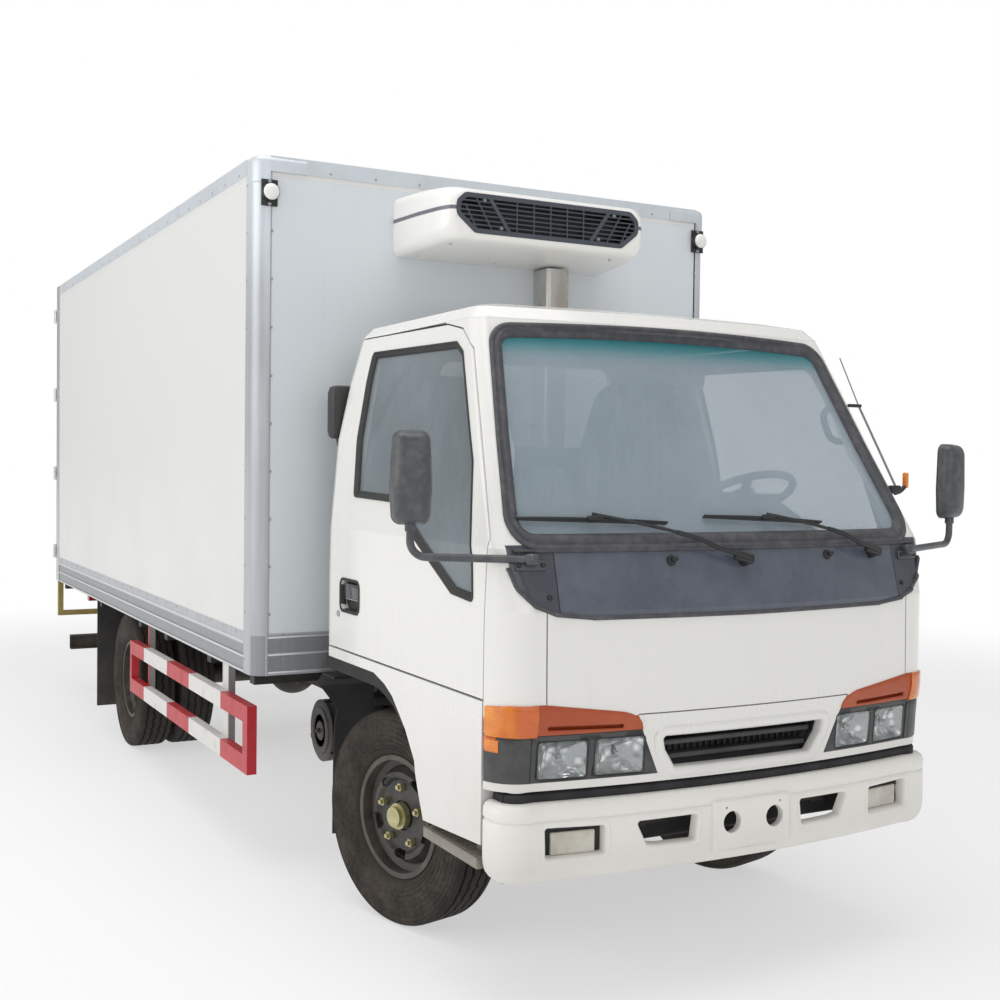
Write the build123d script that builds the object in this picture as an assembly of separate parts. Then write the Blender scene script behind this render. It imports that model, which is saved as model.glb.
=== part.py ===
from build123d import *
import math
import os

os.makedirs("parts", exist_ok=True)

# A light cab-over refrigerated truck. Millimetres, +X forward, +Y to the truck's left, +Z up.
# The ground is z = 0 and the origin lies under the middle of the whole vehicle.

# ---------------------------------------------------------------- driving dimensions
BOX_LENGTH = 4472.0
BOX_WIDTH = 2145.0
BOX_BOTTOM = 791.0
BOX_TOP = 2808.0
CAB_WIDTH = 1700.0
CAB_BEHIND_AXLE = 427.0     # kingpins back to the cab's rear wall
CAB_BOX_GAP = 220.0         # cab's rear wall to the box
FRONT_OVERHANG = 1066.0     # kingpins forward to the bumper's number plate field
WHEELBASE = 3256.0
TYRE_RADIUS = 378.0
TYRE_WIDTH = 200.0
RIM_RADIUS = 203.0
KINGPIN_SPAN = 1240.0
FRONT_TRACK = 1385.0
REAR_TWIN_CENTRES = 220.0   # between the two tyres of one pair
REAR_TRACK = 1570.0
STEER_AT_REST = 14.4        # degrees; parked with the front wheels turned left
FRAME_WIDTH = 770.0
FRAME_TOP = 690.0
RAIL_HEIGHT = 165.0
WALL = 75.0                 # insulated side, front and roof panels
FLOOR_DEPTH = 119.0
CAB_SKIN = 40.0             # outer skin, cavity and lining together
REAR_HARDWARE = 50.0        # lock rods and hinges behind the box
SEAM = 5.0                  # gap round a door
FIT = 0.3                   # clearance between pieces that seat on each other
CLEAR = 6.0                 # clearance between pieces that move past each other

OVERALL = FRONT_OVERHANG + CAB_BEHIND_AXLE + CAB_BOX_GAP + BOX_LENGTH + REAR_HARDWARE
AXLE_X = OVERALL / 2 - FRONT_OVERHANG
REAR_X = AXLE_X - WHEELBASE
CAB_REAR = AXLE_X - CAB_BEHIND_AXLE
BOX_FRONT = CAB_REAR - CAB_BOX_GAP
BOX_REAR = BOX_FRONT - BOX_LENGTH
BOX_HALF = BOX_WIDTH / 2
CAB_HALF = CAB_WIDTH / 2
HUB_Z = TYRE_RADIUS
RAIL_Y = FRAME_WIDTH / 2
SIDES = (("left", 1), ("right", -1))


# ---------------------------------------------------------------- small tools
def block(x, y, z):
    """A box from its low and high x, y and z."""
    low = (min(x), min(y), min(z))
    size = (abs(x[1] - x[0]), abs(y[1] - y[0]), abs(z[1] - z[0]))
    return Pos(*low) * Box(*size, align=(Align.MIN, Align.MIN, Align.MIN))


def across(x, z, radius, y0, y1):
    """A round bar lying across the truck."""
    bar = Cylinder(radius, abs(y1 - y0), align=(Align.CENTER, Align.CENTER, Align.MIN))
    return Pos(x, min(y0, y1), z) * Rot(-90, 0, 0) * bar


def along(y, z, radius, x0, x1):
    """A round bar lying along the truck."""
    bar = Cylinder(radius, abs(x1 - x0), align=(Align.CENTER, Align.CENTER, Align.MIN))
    return Pos(min(x0, x1), y, z) * Rot(0, 90, 0) * bar


def upright(x, y, radius, z0, z1):
    bar = Cylinder(radius, z1 - z0, align=(Align.CENTER, Align.CENTER, Align.MIN))
    return Pos(x, y, z0) * bar


def outline(points, radius=0.0, grow=0.0):
    """A closed face with rounded corners, optionally grown or shrunk."""
    face = make_face(Polyline(*points, close=True))
    if radius > 0:
        face = fillet(face.vertices(), radius)
    if grow != 0:
        face = offset(face, amount=grow, kind=Kind.INTERSECTION)
    return face


def side_prism(points, y0, y1, radius=0.0, grow=0.0):
    """A side-view outline of x and z points, pushed across the truck."""
    face = Plane.XZ * outline(points, radius, grow)
    return Pos(0, max(y0, y1), 0) * extrude(face, amount=abs(y1 - y0), dir=(0, -1, 0))


def front_prism(points, x0, x1, radius=0.0, grow=0.0):
    """A front-view outline of y and z points, pushed along the truck."""
    face = Plane.YZ * outline(points, radius, grow)
    return Pos(min(x0, x1), 0, 0) * extrude(face, amount=abs(x1 - x0), dir=(1, 0, 0))


def plan_prism(points, z0, z1, radius=0.0, grow=0.0):
    """A plan outline of x and y points, pushed up."""
    return Pos(0, 0, z0) * extrude(outline(points, radius, grow), amount=z1 - z0, dir=(0, 0, 1))


def turned(profile):
    """A closed profile of (radius, y) revolved about the Y axis."""
    return revolve(Plane.XY * profile, Axis.Y, 360)


def band(points, thickness):
    """The closed outline of a strip of even thickness along an open path."""
    left = []
    right = []
    for index, (px, py) in enumerate(points):
        before = points[max(index - 1, 0)]
        after = points[min(index + 1, len(points) - 1)]
        one = heading(before, (px, py)) if index > 0 else heading((px, py), after)
        two = heading((px, py), after) if index < len(points) - 1 else one
        normal = (-(one[1] + two[1]), one[0] + two[0])
        scale = thickness / (1 + one[0] * two[0] + one[1] * two[1]) / 2
        left.append((px + normal[0] * scale, py + normal[1] * scale))
        right.append((px - normal[0] * scale, py - normal[1] * scale))
    return Polyline(*left, *reversed(right), close=True)


def heading(start, end):
    length = math.dist(start, end)
    return ((end[0] - start[0]) / length, (end[1] - start[1]) / length)


def mirrored(shape):
    return mirror(shape, about=Plane.XZ)


def save(name, *shapes):
    """Write one node; its solids do not touch each other."""
    solids = []
    for shape in shapes:
        solids.extend(shape.solids())
    whole = solids[0] if len(solids) == 1 else Compound(children=solids)
    export_step(whole, f"parts/{name}.step")


# ---------------------------------------------------------------- wheels
# Every wheel is drawn at the origin with its spindle along Y and its outer face towards +Y.
FLANGE_RADIUS = RIM_RADIUS + 13
RIM_WIDTH = 140.0
RIM_METAL = 5.0
STUD_CIRCLE = 205.0
HUB_HOLE = 54.0
FRONT_DISC_OUT = 42.0       # hub face outboard of the tyre's middle
DISC_METAL = 9.0
WELL_DEPTH = 24.0
KINGPIN_RADIUS = 15.0
TREAD_HALF = TYRE_WIDTH * 0.41
SHOULDER_DROP = 14.0
WALL_RUBBER = 16.0


def tyre():
    """Hollow truck tyre: flat tread, bulged walls, upright beads inside the rim flanges."""
    half = TYRE_WIDTH / 2
    bead = RIM_WIDTH / 2 - RIM_METAL - FIT
    bulge_r = (RIM_RADIUS + TYRE_RADIUS) / 2
    seat = RIM_RADIUS + FIT
    shoulder = (TYRE_RADIUS - SHOULDER_DROP, TREAD_HALF + 8)
    heel = (FLANGE_RADIUS + 3, bead)
    cavity = [(seat, bead - 24), (bulge_r, half - WALL_RUBBER), (TYRE_RADIUS - 34, TREAD_HALF - WALL_RUBBER)]
    inside = cavity + [(r, -y) for r, y in reversed(cavity)]
    with BuildSketch() as section:
        with BuildLine():
            Polyline((seat, -bead), *reversed(inside), (seat, bead), heel)
            ThreePointArc(heel, (bulge_r, half), shoulder)
            Polyline(shoulder, (TYRE_RADIUS, TREAD_HALF - 6), (TYRE_RADIUS, 6 - TREAD_HALF),
                     (shoulder[0], -shoulder[1]))
            ThreePointArc((shoulder[0], -shoulder[1]), (bulge_r, -half), (heel[0], -heel[1]))
            Line((heel[0], -heel[1]), (seat, -bead))
        make_face()
    return turned(section.sketch)


def rim(disc):
    """Pressed wheel: flanged barrel with a drop well, and a dished disc along (radius, y) points."""
    edge = RIM_WIDTH / 2 - RIM_METAL / 2
    half = RIM_METAL / 2
    low = RIM_RADIUS - WELL_DEPTH - half
    barrel = [
        (FLANGE_RADIUS, edge), (RIM_RADIUS - half, edge), (RIM_RADIUS - half, 26), (low, 16),
        (low, -24), (RIM_RADIUS - half, -38), (RIM_RADIUS - half, -edge), (FLANGE_RADIUS, -edge),
    ]
    wheel = turned(make_face(band(barrel, RIM_METAL)))
    return wheel + turned(make_face(band(disc, DISC_METAL)))


def hand_holes(radius, y0, y1):
    """Five slots through the disc, between the nuts."""
    holes = []
    for step in range(5):
        slot = extrude(Plane.XZ * Pos(0, radius) * SlotOverall(62, 34), amount=y1 - y0, dir=(0, 1, 0))
        holes.append(Rot(0, 72 * step + 36, 0) * Pos(0, y0, 0) * slot)
    return holes


def hub_fittings(disc_out):
    """Hub cap and the five wheel nuts, fused to the wheel that they hold."""
    cap_r = HUB_HOLE - 8
    cap = across(0, 0, cap_r, disc_out - 40, disc_out + 26)
    cap += across(0, 0, cap_r - 10, disc_out + 26, disc_out + 44)
    plate = across(0, 0, HUB_HOLE + 1, disc_out - 40, disc_out - 9)
    nuts = cap + plate
    for step in range(5):
        angle = math.radians(72 * step)
        x = STUD_CIRCLE / 2 * math.sin(angle)
        z = STUD_CIRCLE / 2 * math.cos(angle)
        nut = extrude(Plane.XZ * RegularPolygon(15, 6), amount=20, dir=(0, 1, 0))
        nuts += Pos(x, disc_out - 1, z) * nut
        nuts += across(x, z, 8, disc_out, disc_out + 30)
    return nuts


def place_front(shape, side):
    """A front-wheel piece drawn outer face to +Y, moved to its kingpin and steered."""
    shape = Pos(0, FRONT_TRACK / 2 - KINGPIN_SPAN / 2, HUB_Z) * shape
    if side < 0:
        shape = mirrored(shape)
    turn = Rot(0, 0, STEER_AT_REST)
    return Pos(AXLE_X, side * KINGPIN_SPAN / 2, 0) * turn * shape


STUB_RADIUS = 30.0
BOSS_RADIUS = 32.0
BOSS_LENGTH = 190.0
EYE_HALF = 45.0             # half height of the axle's eye between the knuckle's ears
WEB_OUT = 50.0              # kingpin out to the back of the brake
DRUM_RADIUS = 150.0


def knuckle():
    """Kingpin ears, stub axle and steering arm, with the kingpin at x = y = 0."""
    out = FRONT_TRACK / 2 - KINGPIN_SPAN / 2
    reach = BOSS_LENGTH / 2
    ears = upright(0, 0, BOSS_RADIUS, HUB_Z + EYE_HALF + CLEAR, HUB_Z + reach)
    ears += upright(0, 0, BOSS_RADIUS, HUB_Z - reach, HUB_Z - EYE_HALF - CLEAR)
    ears -= upright(0, 0, KINGPIN_RADIUS + 0.05, HUB_Z - reach, HUB_Z + reach)
    web = block((-30, 30), (BOSS_RADIUS + 2, WEB_OUT), (HUB_Z - reach, HUB_Z + reach))
    for low in (HUB_Z + EYE_HALF + CLEAR, HUB_Z - reach):
        web += block((-30, 30), (KINGPIN_RADIUS + 3, WEB_OUT), (low, low + reach - EYE_HALF - CLEAR))
    spindle = across(0, HUB_Z, STUB_RADIUS, WEB_OUT - 5, out)
    arm = block((-150, -20), (-14, 14), (HUB_Z - reach, HUB_Z - reach + 24))
    return ears + web + spindle + arm


def front_rim():
    """Front wheel with its drum and hub on a bore that runs on the stub axle."""
    out = FRONT_TRACK / 2 - KINGPIN_SPAN / 2
    drum_in = WEB_OUT + 2 - out
    hub_y = FRONT_DISC_OUT - DISC_METAL / 2
    well = RIM_RADIUS - WELL_DEPTH - RIM_METAL
    flat = STUD_CIRCLE / 2 + 22
    disc = [(HUB_HOLE, hub_y), (flat, hub_y), (flat + 12, hub_y + 12), (well - 24, hub_y + 10),
            (well - 4, hub_y - 28), (well - 2, -8)]
    wheel = rim(disc) - hand_holes(well - 36, 0, FRONT_DISC_OUT + 40)
    wheel += across(0, 0, DRUM_RADIUS - 22, drum_in, FRONT_DISC_OUT - DISC_METAL)
    wheel += hub_fittings(FRONT_DISC_OUT)
    return wheel - across(0, 0, STUB_RADIUS + 0.05, drum_in - 5, 2)


for name, side in SIDES:
    save(f"front_tyre_{name}", place_front(tyre(), side))
    save(f"front_rim_{name}", place_front(front_rim(), side))
    part = knuckle()
    if side < 0:
        part = mirrored(part)
    turn = Rot(0, 0, STEER_AT_REST)
    save(f"knuckle_{name}", Pos(AXLE_X, side * KINGPIN_SPAN / 2, 0) * turn * part)

# rear twins: both discs are dished to meet face to face halfway between the tyres
TWIN_Y = REAR_TRACK / 2
AXLE_END_RADIUS = 44.0


def rear_rims():
    """Both rims of a twin pair bolted together, with their hub and drum, outer face to +Y."""
    mate = REAR_TWIN_CENTRES / 2 - DISC_METAL / 2
    well = RIM_RADIUS - WELL_DEPTH - RIM_METAL
    flat = STUD_CIRCLE / 2 + 24
    disc = [(HUB_HOLE, mate), (flat, mate), (flat + 22, mate - 16), (well - 8, 26), (well - 2, 2)]
    single = rim(disc) - hand_holes(well - 20, 30, mate)
    outer = Pos(0, REAR_TWIN_CENTRES / 2, 0) * Rot(0, 0, 180) * single
    inner = Pos(0, -REAR_TWIN_CENTRES / 2, 0) * single
    hub = across(0, 0, HUB_HOLE + 2, -40, 95) + across(0, 0, HUB_HOLE - 10, 95, 110)
    hub += across(0, 0, DRUM_RADIUS - 22, -REAR_TWIN_CENTRES / 2 - 40, -DISC_METAL + 1)
    for step in range(5):
        angle = math.radians(72 * step)
        spot = Pos(STUD_CIRCLE / 2 * math.sin(angle), DISC_METAL - 1, STUD_CIRCLE / 2 * math.cos(angle))
        hub += spot * extrude(Plane.XZ * RegularPolygon(16, 6), amount=26, dir=(0, 1, 0))
    pair = outer + inner + hub
    return pair - across(0, 0, AXLE_END_RADIUS + 0.05, -REAR_TWIN_CENTRES, 60)


for name, side in SIDES:
    spot = Pos(REAR_X, side * TWIN_Y, HUB_Z)
    pair = rear_rims()
    tyre_pair = [Pos(0, offset_y, 0) * tyre() for offset_y in (-REAR_TWIN_CENTRES / 2, REAR_TWIN_CENTRES / 2)]
    if side < 0:
        pair = mirrored(pair)
    save(f"rear_rim_{name}", spot * pair)
    save(f"rear_tyres_{name}", *[spot * one for one in tyre_pair])

# ---------------------------------------------------------------- frame and running gear
RAIL_METAL = 6.0
FLANGE = 55.0
RAIL_FRONT = AXLE_X + 950
RAIL_REAR = BOX_REAR + 60
RAIL_BOTTOM = FRAME_TOP - RAIL_HEIGHT
TILT_X = AXLE_X + 1000
TILT_Z = 600.0
TILT_PIN = 10.0
ARM_Y = (290.0, 318.0)      # the cab's pivot arms, each side


def channel(y_out, side):
    """One C-section rail with its web outboard."""
    web = block((RAIL_REAR, RAIL_FRONT), (y_out, y_out - side * RAIL_METAL), (RAIL_BOTTOM, FRAME_TOP))
    lower = block((RAIL_REAR, RAIL_FRONT), (y_out, y_out - side * FLANGE), (RAIL_BOTTOM, RAIL_BOTTOM + RAIL_METAL))
    return web + lower + Pos(0, 0, RAIL_HEIGHT - RAIL_METAL) * lower


save("frame_rails", *[channel(side * RAIL_Y, side) for _, side in SIDES])

inner_rail = RAIL_Y - RAIL_METAL - FIT
member_z = (RAIL_BOTTOM + RAIL_METAL + FIT, FRAME_TOP - RAIL_METAL - FIT)
members = []
for station in (RAIL_REAR + 120, REAR_X - 560, REAR_X + 620, AXLE_X - 1150):
    outer = block((station, station + 70), (-inner_rail, inner_rail), member_z)
    members.append(outer - block((station + 6, station + 71), (-inner_rail, inner_rail), (member_z[0] + 6, member_z[1] - 6)))
front_member = block((RAIL_FRONT - 50, RAIL_FRONT), (-inner_rail, inner_rail), (member_z[0], TILT_Z))
for _, side in SIDES:
    for y in (ARM_Y[0] - CLEAR - 10, ARM_Y[1] + CLEAR):
        ear = block((RAIL_FRONT - 1, TILT_X), (side * y, side * (y + 10)), (TILT_Z - 18, TILT_Z + 18))
        ear += across(TILT_X, TILT_Z, 18, side * y, side * (y + 10))
        front_member += ear
    front_member += across(TILT_X, TILT_Z, TILT_PIN, side * (ARM_Y[0] - CLEAR - 10), side * (ARM_Y[1] + CLEAR + 10))
save("cross_members", front_member, *members)

# a dropped forged beam in front, a banjo axle behind
BEAM_Z = (HUB_Z - 88, HUB_Z - 18)
front_axle = block((AXLE_X - 35, AXLE_X + 35), (-KINGPIN_SPAN / 2 + 90, KINGPIN_SPAN / 2 - 90), BEAM_Z)
for edge in (-1, 1):
    front_axle -= block((AXLE_X + edge * 12, AXLE_X + edge * 36), (-420, 420), (BEAM_Z[0] + 16, BEAM_Z[1] - 16))
for _, side in SIDES:
    pin_y = side * KINGPIN_SPAN / 2
    shoulder = [(side * (KINGPIN_SPAN / 2 - 92), BEAM_Z[0]), (side * (KINGPIN_SPAN / 2 - 92), BEAM_Z[1]),
                (side * (KINGPIN_SPAN / 2 - 20), HUB_Z + EYE_HALF),
                (side * (KINGPIN_SPAN / 2 - BOSS_RADIUS - 2), HUB_Z - EYE_HALF + 3)]
    front_axle += front_prism(shoulder, AXLE_X - 28, AXLE_X + 28)
    front_axle += upright(AXLE_X, pin_y, BOSS_RADIUS, HUB_Z - EYE_HALF, HUB_Z + EYE_HALF)
    front_axle += upright(AXLE_X, pin_y, KINGPIN_RADIUS, HUB_Z - BOSS_LENGTH / 2, HUB_Z + BOSS_LENGTH / 2)
banjo = across(REAR_X, HUB_Z, 55, -TWIN_Y + REAR_TWIN_CENTRES / 2 + 52, TWIN_Y - REAR_TWIN_CENTRES / 2 - 52)
banjo += across(REAR_X, HUB_Z, AXLE_END_RADIUS, -TWIN_Y - 55, TWIN_Y + 55)
banjo += Pos(REAR_X, 0, HUB_Z) * Sphere(150)
banjo += along(0, HUB_Z, 70, REAR_X, REAR_X + 250)
save("axles", front_axle, banjo)

# leaf springs as one bowed pack each: (x from the axle, z) along the middle
SPRING_PACK = 34.0
FRONT_SPRING = (350.0, 60.0, 540.0, BEAM_Z[1])      # middle y, width, half length, seat z
REAR_SPRING = (462.0, 70.0, 620.0, HUB_Z + 55)
springs = []
for axle_x, (mid_y, width, reach, seat) in ((AXLE_X, FRONT_SPRING), (REAR_X, REAR_SPRING)):
    top = RAIL_BOTTOM - 30
    path = [(axle_x - reach, top), (axle_x - reach / 2, seat + SPRING_PACK / 2 + 30), (axle_x - 70, seat + SPRING_PACK / 2 + FIT),
            (axle_x + 70, seat + SPRING_PACK / 2 + FIT), (axle_x + reach / 2, seat + SPRING_PACK / 2 + 30), (axle_x + reach, top)]
    pack_face = make_face(band(path, SPRING_PACK))
    for _, side in SIDES:
        y0, y1 = side * (mid_y - width / 2), side * (mid_y + width / 2)
        face = Plane.XZ * pack_face
        pack = Pos(0, max(y0, y1), 0) * extrude(face, amount=width, dir=(0, -1, 0))
        for end in (-1, 1):
            x = axle_x + end * reach
            pack += across(x, top, 26, y0, y1)
            if mid_y < RAIL_Y:
                pack += block((x - 14, x + 14), (side * (RAIL_Y - FLANGE + 5), y1), (top, RAIL_BOTTOM - FIT))
            else:
                pack += block((x - 14, x + 14), (side * (RAIL_Y + FIT), y1), (top, RAIL_BOTTOM + 90))
        springs.append(pack)
save("leaf_springs", *springs)

GEARBOX_REAR = AXLE_X - 820
save("propeller_shaft", along(0, HUB_Z + 30, 38, REAR_X + 250 + FIT, GEARBOX_REAR - FIT))
engine = block((AXLE_X - 350, AXLE_X + 300), (-235, 235), (BEAM_Z[1] + 70, 1030))
engine += block((GEARBOX_REAR, AXLE_X - 350), (-150, 150), (HUB_Z - 60, FRAME_TOP + 10))
save("engine", fillet(engine.edges().filter_by(Axis.X).group_by(Axis.Z)[-1], 40))

# exhaust: a pipe back to the silencer between the rails, its tail turned out behind the fuel tank
EXHAUST_Y = 230.0
EXHAUST_Z = 450.0
SILENCER_X = (AXLE_X - 1500, AXLE_X - 1000)
TAIL_X = (-120.0, -300.0)
silencer = along(EXHAUST_Y, EXHAUST_Z, 75, *SILENCER_X)
silencer += along(EXHAUST_Y - 30, EXHAUST_Z + 30, 25, SILENCER_X[1] - 5, AXLE_X - 350 - FIT)
tail_path = FilletPolyline((SILENCER_X[0] + 5, EXHAUST_Y, EXHAUST_Z), (TAIL_X[0], EXHAUST_Y, EXHAUST_Z),
                           (TAIL_X[1], 930, EXHAUST_Z), radius=90)
tail_ring = Circle(24) - Circle(21)
silencer += sweep(Plane(tail_path @ 0, z_dir=tail_path % 0) * tail_ring, tail_path)
silencer += block((SILENCER_X[0] + 200, SILENCER_X[0] + 230), (RAIL_Y - FLANGE + 5, EXHAUST_Y + 60), (EXHAUST_Z, RAIL_BOTTOM - FIT))
silencer += block((SILENCER_X[0] - 120, SILENCER_X[0] - 100), (RAIL_Y - FLANGE + 5, EXHAUST_Y + 22), (EXHAUST_Z - 8, EXHAUST_Z + 8))
silencer += block((SILENCER_X[0] - 120, SILENCER_X[0] - 100), (RAIL_Y - FLANGE + 1, RAIL_Y - FLANGE + 9), (EXHAUST_Z - 8, RAIL_BOTTOM - FIT))
save("exhaust", silencer)

TANK_X = (AXLE_X - 2150, AXLE_X - 1350)
tank = fillet(block(TANK_X, (RAIL_Y + 35, 900), (330, 690)).edges().filter_by(Axis.X), 60)
tank += block((TANK_X[0] + 120, TANK_X[0] + 160), (RAIL_Y + FIT, RAIL_Y + 60), (400, 680))
tank += block((TANK_X[1] - 160, TANK_X[1] - 120), (RAIL_Y + FIT, RAIL_Y + 60), (400, 680))
tank += upright(TANK_X[1] - 90, 780, 34, 680, 715)
save("fuel_tank", tank)

CLEANER_X = AXLE_X - 980
cleaner = across(CLEANER_X, 485, 130, -RAIL_Y - 30, -650)
cleaner += across(CLEANER_X, 485, 104, -650, -668)
cleaner += block((CLEANER_X - 40, CLEANER_X + 40), (-RAIL_Y - FIT, -RAIL_Y - 60), (540, 660))
cleaner += upright(CLEANER_X + 190, -520, 45, 430, 700)
cleaner += block((CLEANER_X + 60, CLEANER_X + 190), (-490, -550), (470, 530))
save("air_cleaner", cleaner)

# ---------------------------------------------------------------- cab shell
FRONT_RADIUS = 4480.0       # plan curve of the front face
CORNER = 25.0
BACK_SKIN = 25.0
BELT = 1383.0
SEAM_X = 860.0              # door's front edge ahead of the kingpins
DOOR_BOTTOM = 936.0
DRIP_RAIL = 2096.0
FLOOR_Z = (905.0, DOOR_BOTTOM - SEAM)
PANEL_FOOT = 676.0

# cab sections from the ground up, measured from the kingpins and from the widest line:
# (height, rear set-in, rear narrowing, front narrowing, side end x, corner depth, front x)
SECTIONS = (
    (470, 0, 0, 0, 850, 115, 1018),
    (690, 0, 0, 0, 850, 115, 1018),
    (820, 0, 0, 0, 855, 120, 1028),
    (890, 0, 0, 0, 858, 130, 1043),
    (1200, 0, 0, 0, 858, 115, 1038),
    (1383, 0, 3, 3, 866, 54, 989),
    (1710, 0, 31, 58, 686, 54, 792),
    (1930, 0, 80, 98, 572, 54, 668),
    (2100, 0, 130, 130, 478, 54, 574),
    (2138, 14, 165, 160, 440, 62, 540),
    (2162, 90, 260, 250, 330, 80, 420),
)


def cab_section(row, inset):
    height, set_in, rear_in, front_in, side_end, depth, front = row
    rear = CAB_REAR + set_in + min(inset, BACK_SKIN)
    back_y = CAB_HALF - rear_in - inset
    side_y = CAB_HALF - front_in - inset
    bend_y = CAB_HALF - front_in - depth - inset / 2
    nose = AXLE_X + front - inset
    bend_x = nose - bend_y ** 2 / (2 * FRONT_RADIUS)
    end_x = AXLE_X + side_end - inset / 2
    radius = max(CORNER - inset, 4)
    with BuildSketch(Plane.XY.offset(height)) as sketch:
        with BuildLine():
            for side in (-1, 1):
                Line((rear, 0), (rear, side * (back_y - radius)))
                ThreePointArc((rear, side * (back_y - radius)),
                              (rear + 0.293 * radius, side * (back_y - 0.293 * radius)),
                              (rear + radius, side * back_y))
                Line((rear + radius, side * back_y), (end_x, side * side_y))
                middle = ((end_x + bend_x) / 2 + 0.2 * (bend_x - end_x), (side_y + bend_y) / 2 + 0.2 * (side_y - bend_y))
                ThreePointArc((end_x, side * side_y), (middle[0], side * middle[1]), (bend_x, side * bend_y))
            ThreePointArc((bend_x, -bend_y), (nose, 0), (bend_x, bend_y))
        make_face()
    return sketch.sketch


def cab_hull(inset, bottom=SECTIONS[0][0]):
    """The cab's whole outer form, drawn in by a distance all round."""
    rows = [(bottom,) + SECTIONS[0][1:]]
    rows += list(SECTIONS[1:-1])
    top = SECTIONS[-1]
    rows.append((top[0] - inset,) + top[1:])
    return loft([cab_section(row, inset) for row in rows if row[0] <= top[0] - inset], ruled=True)


hull = cab_hull(0)
cavity = cab_hull(CAB_SKIN, 460)
shell = hull - cavity


def kb(points):
    """Shift side-view points from the kingpins to the truck's own frame."""
    return [(AXLE_X + x, z) for x, z in points]


# side-view outlines, measured from the kingpins
DOOR = [(-CAB_BEHIND_AXLE + 28, DOOR_BOTTOM), (SEAM_X, DOOR_BOTTOM), (SEAM_X, 1150), (870, 1410),
        (550, 1993), (453, 2064), (334, DRIP_RAIL - 8), (-CAB_BEHIND_AXLE + 28, DRIP_RAIL)]
DOOR_WINDOW = [(-205, 1497), (145, 1488), (472, 1312), (641, 1223), (794, 1209),
               (784, 1335), (696, 1640), (492, 1992), (430, 2029), (-268, 2041)]
WINDOW_SEAT = 12.0          # rubber overlaps the opening by this much
ARCH = [(-CAB_BEHIND_AXLE - 40, 895), (33, 895), (128, 870), (195, 839), (308, 745), (380, 658),
        (389, 618), (417, 553), (452, 481), (440, 440), (-CAB_BEHIND_AXLE - 40, 440)]
PANEL_BOTTOM = [(440, 400), (440, 480), (SEAM_X - 7, 507), (SEAM_X - 7, 400)]
GLASS_IN = 12.0
GLASS = 6.0
outside = CAB_HALF + 200
lining = CAB_HALF - 172     # door and window outlines are pushed in this far from each side


door_gap = side_prism(kb(DOOR), lining, outside, 0, SEAM / 2)
door_form = side_prism(kb(DOOR), lining, outside, 0, -SEAM / 2)
window_hole = side_prism(kb(DOOR_WINDOW), lining, outside, 20, -WINDOW_SEAT)
glass_layer = cab_hull(GLASS_IN) - cab_hull(GLASS_IN + GLASS)

HINGE_HEIGHTS = (1030.0, 1290.0)
LEAF = 30.0
HANDLE = [(-289, 1082), (-109, 1082), (-109, 1197), (-289, 1197)]
LEVER = [(-275, 1125), (-123, 1125), (-123, 1180), (-275, 1180)]
handle_pocket = side_prism(kb(HANDLE), CAB_HALF - 28, outside, 40)

door = (shell & door_form) - window_hole - handle_pocket
door += side_prism(kb(LEVER), CAB_HALF - 29, CAB_HALF - 10, 14)
inner = CAB_HALF - CAB_SKIN
for z in HINGE_HEIGHTS:
    door += block((AXLE_X + SEAM_X - 60, AXLE_X + SEAM_X - 10), (inner - 24, inner + 2), (z + FIT, z + LEAF))
pane = glass_layer & side_prism(kb(DOOR_WINDOW), lining, outside, 20, -WINDOW_SEAT - FIT)
for name, side in SIDES:
    save(f"door_{name}", door if side > 0 else mirrored(door))
    save(f"door_glass_{name}", pane if side > 0 else mirrored(pane))

# windshield opening in the front view
SCREEN = [(-783, 1398), (783, 1398), (661, 2056), (-661, 2056)]
screen_hole = front_prism(SCREEN, AXLE_X + 250, AXLE_X + 1200, 65)
screen_form = front_prism(SCREEN, AXLE_X + 250, AXLE_X + 1200, 65, -FIT)
save("windshield", glass_layer & screen_form)

body = shell - door_gap - mirrored(door_gap)
low_x, high_x = CAB_REAR - 50, AXLE_X + 1200
wide = (-outside, outside)
roof_zone = block((low_x, high_x), wide, (DRIP_RAIL, 2400))
back_zone = block((low_x, CAB_REAR + BACK_SKIN + 20), wide, (DOOR_BOTTOM, DRIP_RAIL - FIT))
ring_zone = block((AXLE_X + 320, high_x), wide, (BELT + 10, DRIP_RAIL - FIT))
nose_zone = block((AXLE_X + SEAM_X + SEAM / 2, high_x), wide, (PANEL_FOOT, BELT + 10 - FIT))
save("cab_roof", body & roof_zone)

# a small fixed window in the back wall, behind the seats
REAR_WINDOW = [(-400, 1700), (400, 1700), (400, 2030), (-400, 2030)]
REAR_WINDOW_CORNER = 60.0
rear_window_x = (low_x, CAB_REAR + BACK_SKIN + 5)
save("cab_back", (body & back_zone) - front_prism(REAR_WINDOW, *rear_window_x, REAR_WINDOW_CORNER))
save("rear_window", glass_layer & front_prism(REAR_WINDOW, *rear_window_x, REAR_WINDOW_CORNER, -FIT))
save("windshield_frame", (body & ring_zone) - screen_hole)

# nose: lamp and grille openings, a recess for the dark cowl under the windshield
LAMP_TOP, LAMP_FOOT = 886.0, 700.0
LAMP_IN_TOP, LAMP_IN_FOOT = 411.0, 328.0
LAMP_DEPTH = 62.0
GRILLE = [(-321, 816), (321, 816), (309, 770), (268, 709), (-268, 709), (-309, 770)]
COWL = [(-812, BELT + 9), (-806, 1327), (-784, 1268), (-740, 1222), (-678, 1197), (-560, 1184), (0, 1181),
        (560, 1184), (678, 1197), (740, 1222), (784, 1268), (806, 1327), (812, BELT + 9)]
COWL_DEPTH = 8.0


def lamp_outline(side):
    return [(side * LAMP_IN_FOOT, LAMP_FOOT), (side * LAMP_IN_TOP, LAMP_TOP), (side * outside, LAMP_TOP), (side * outside, LAMP_FOOT)]


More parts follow.
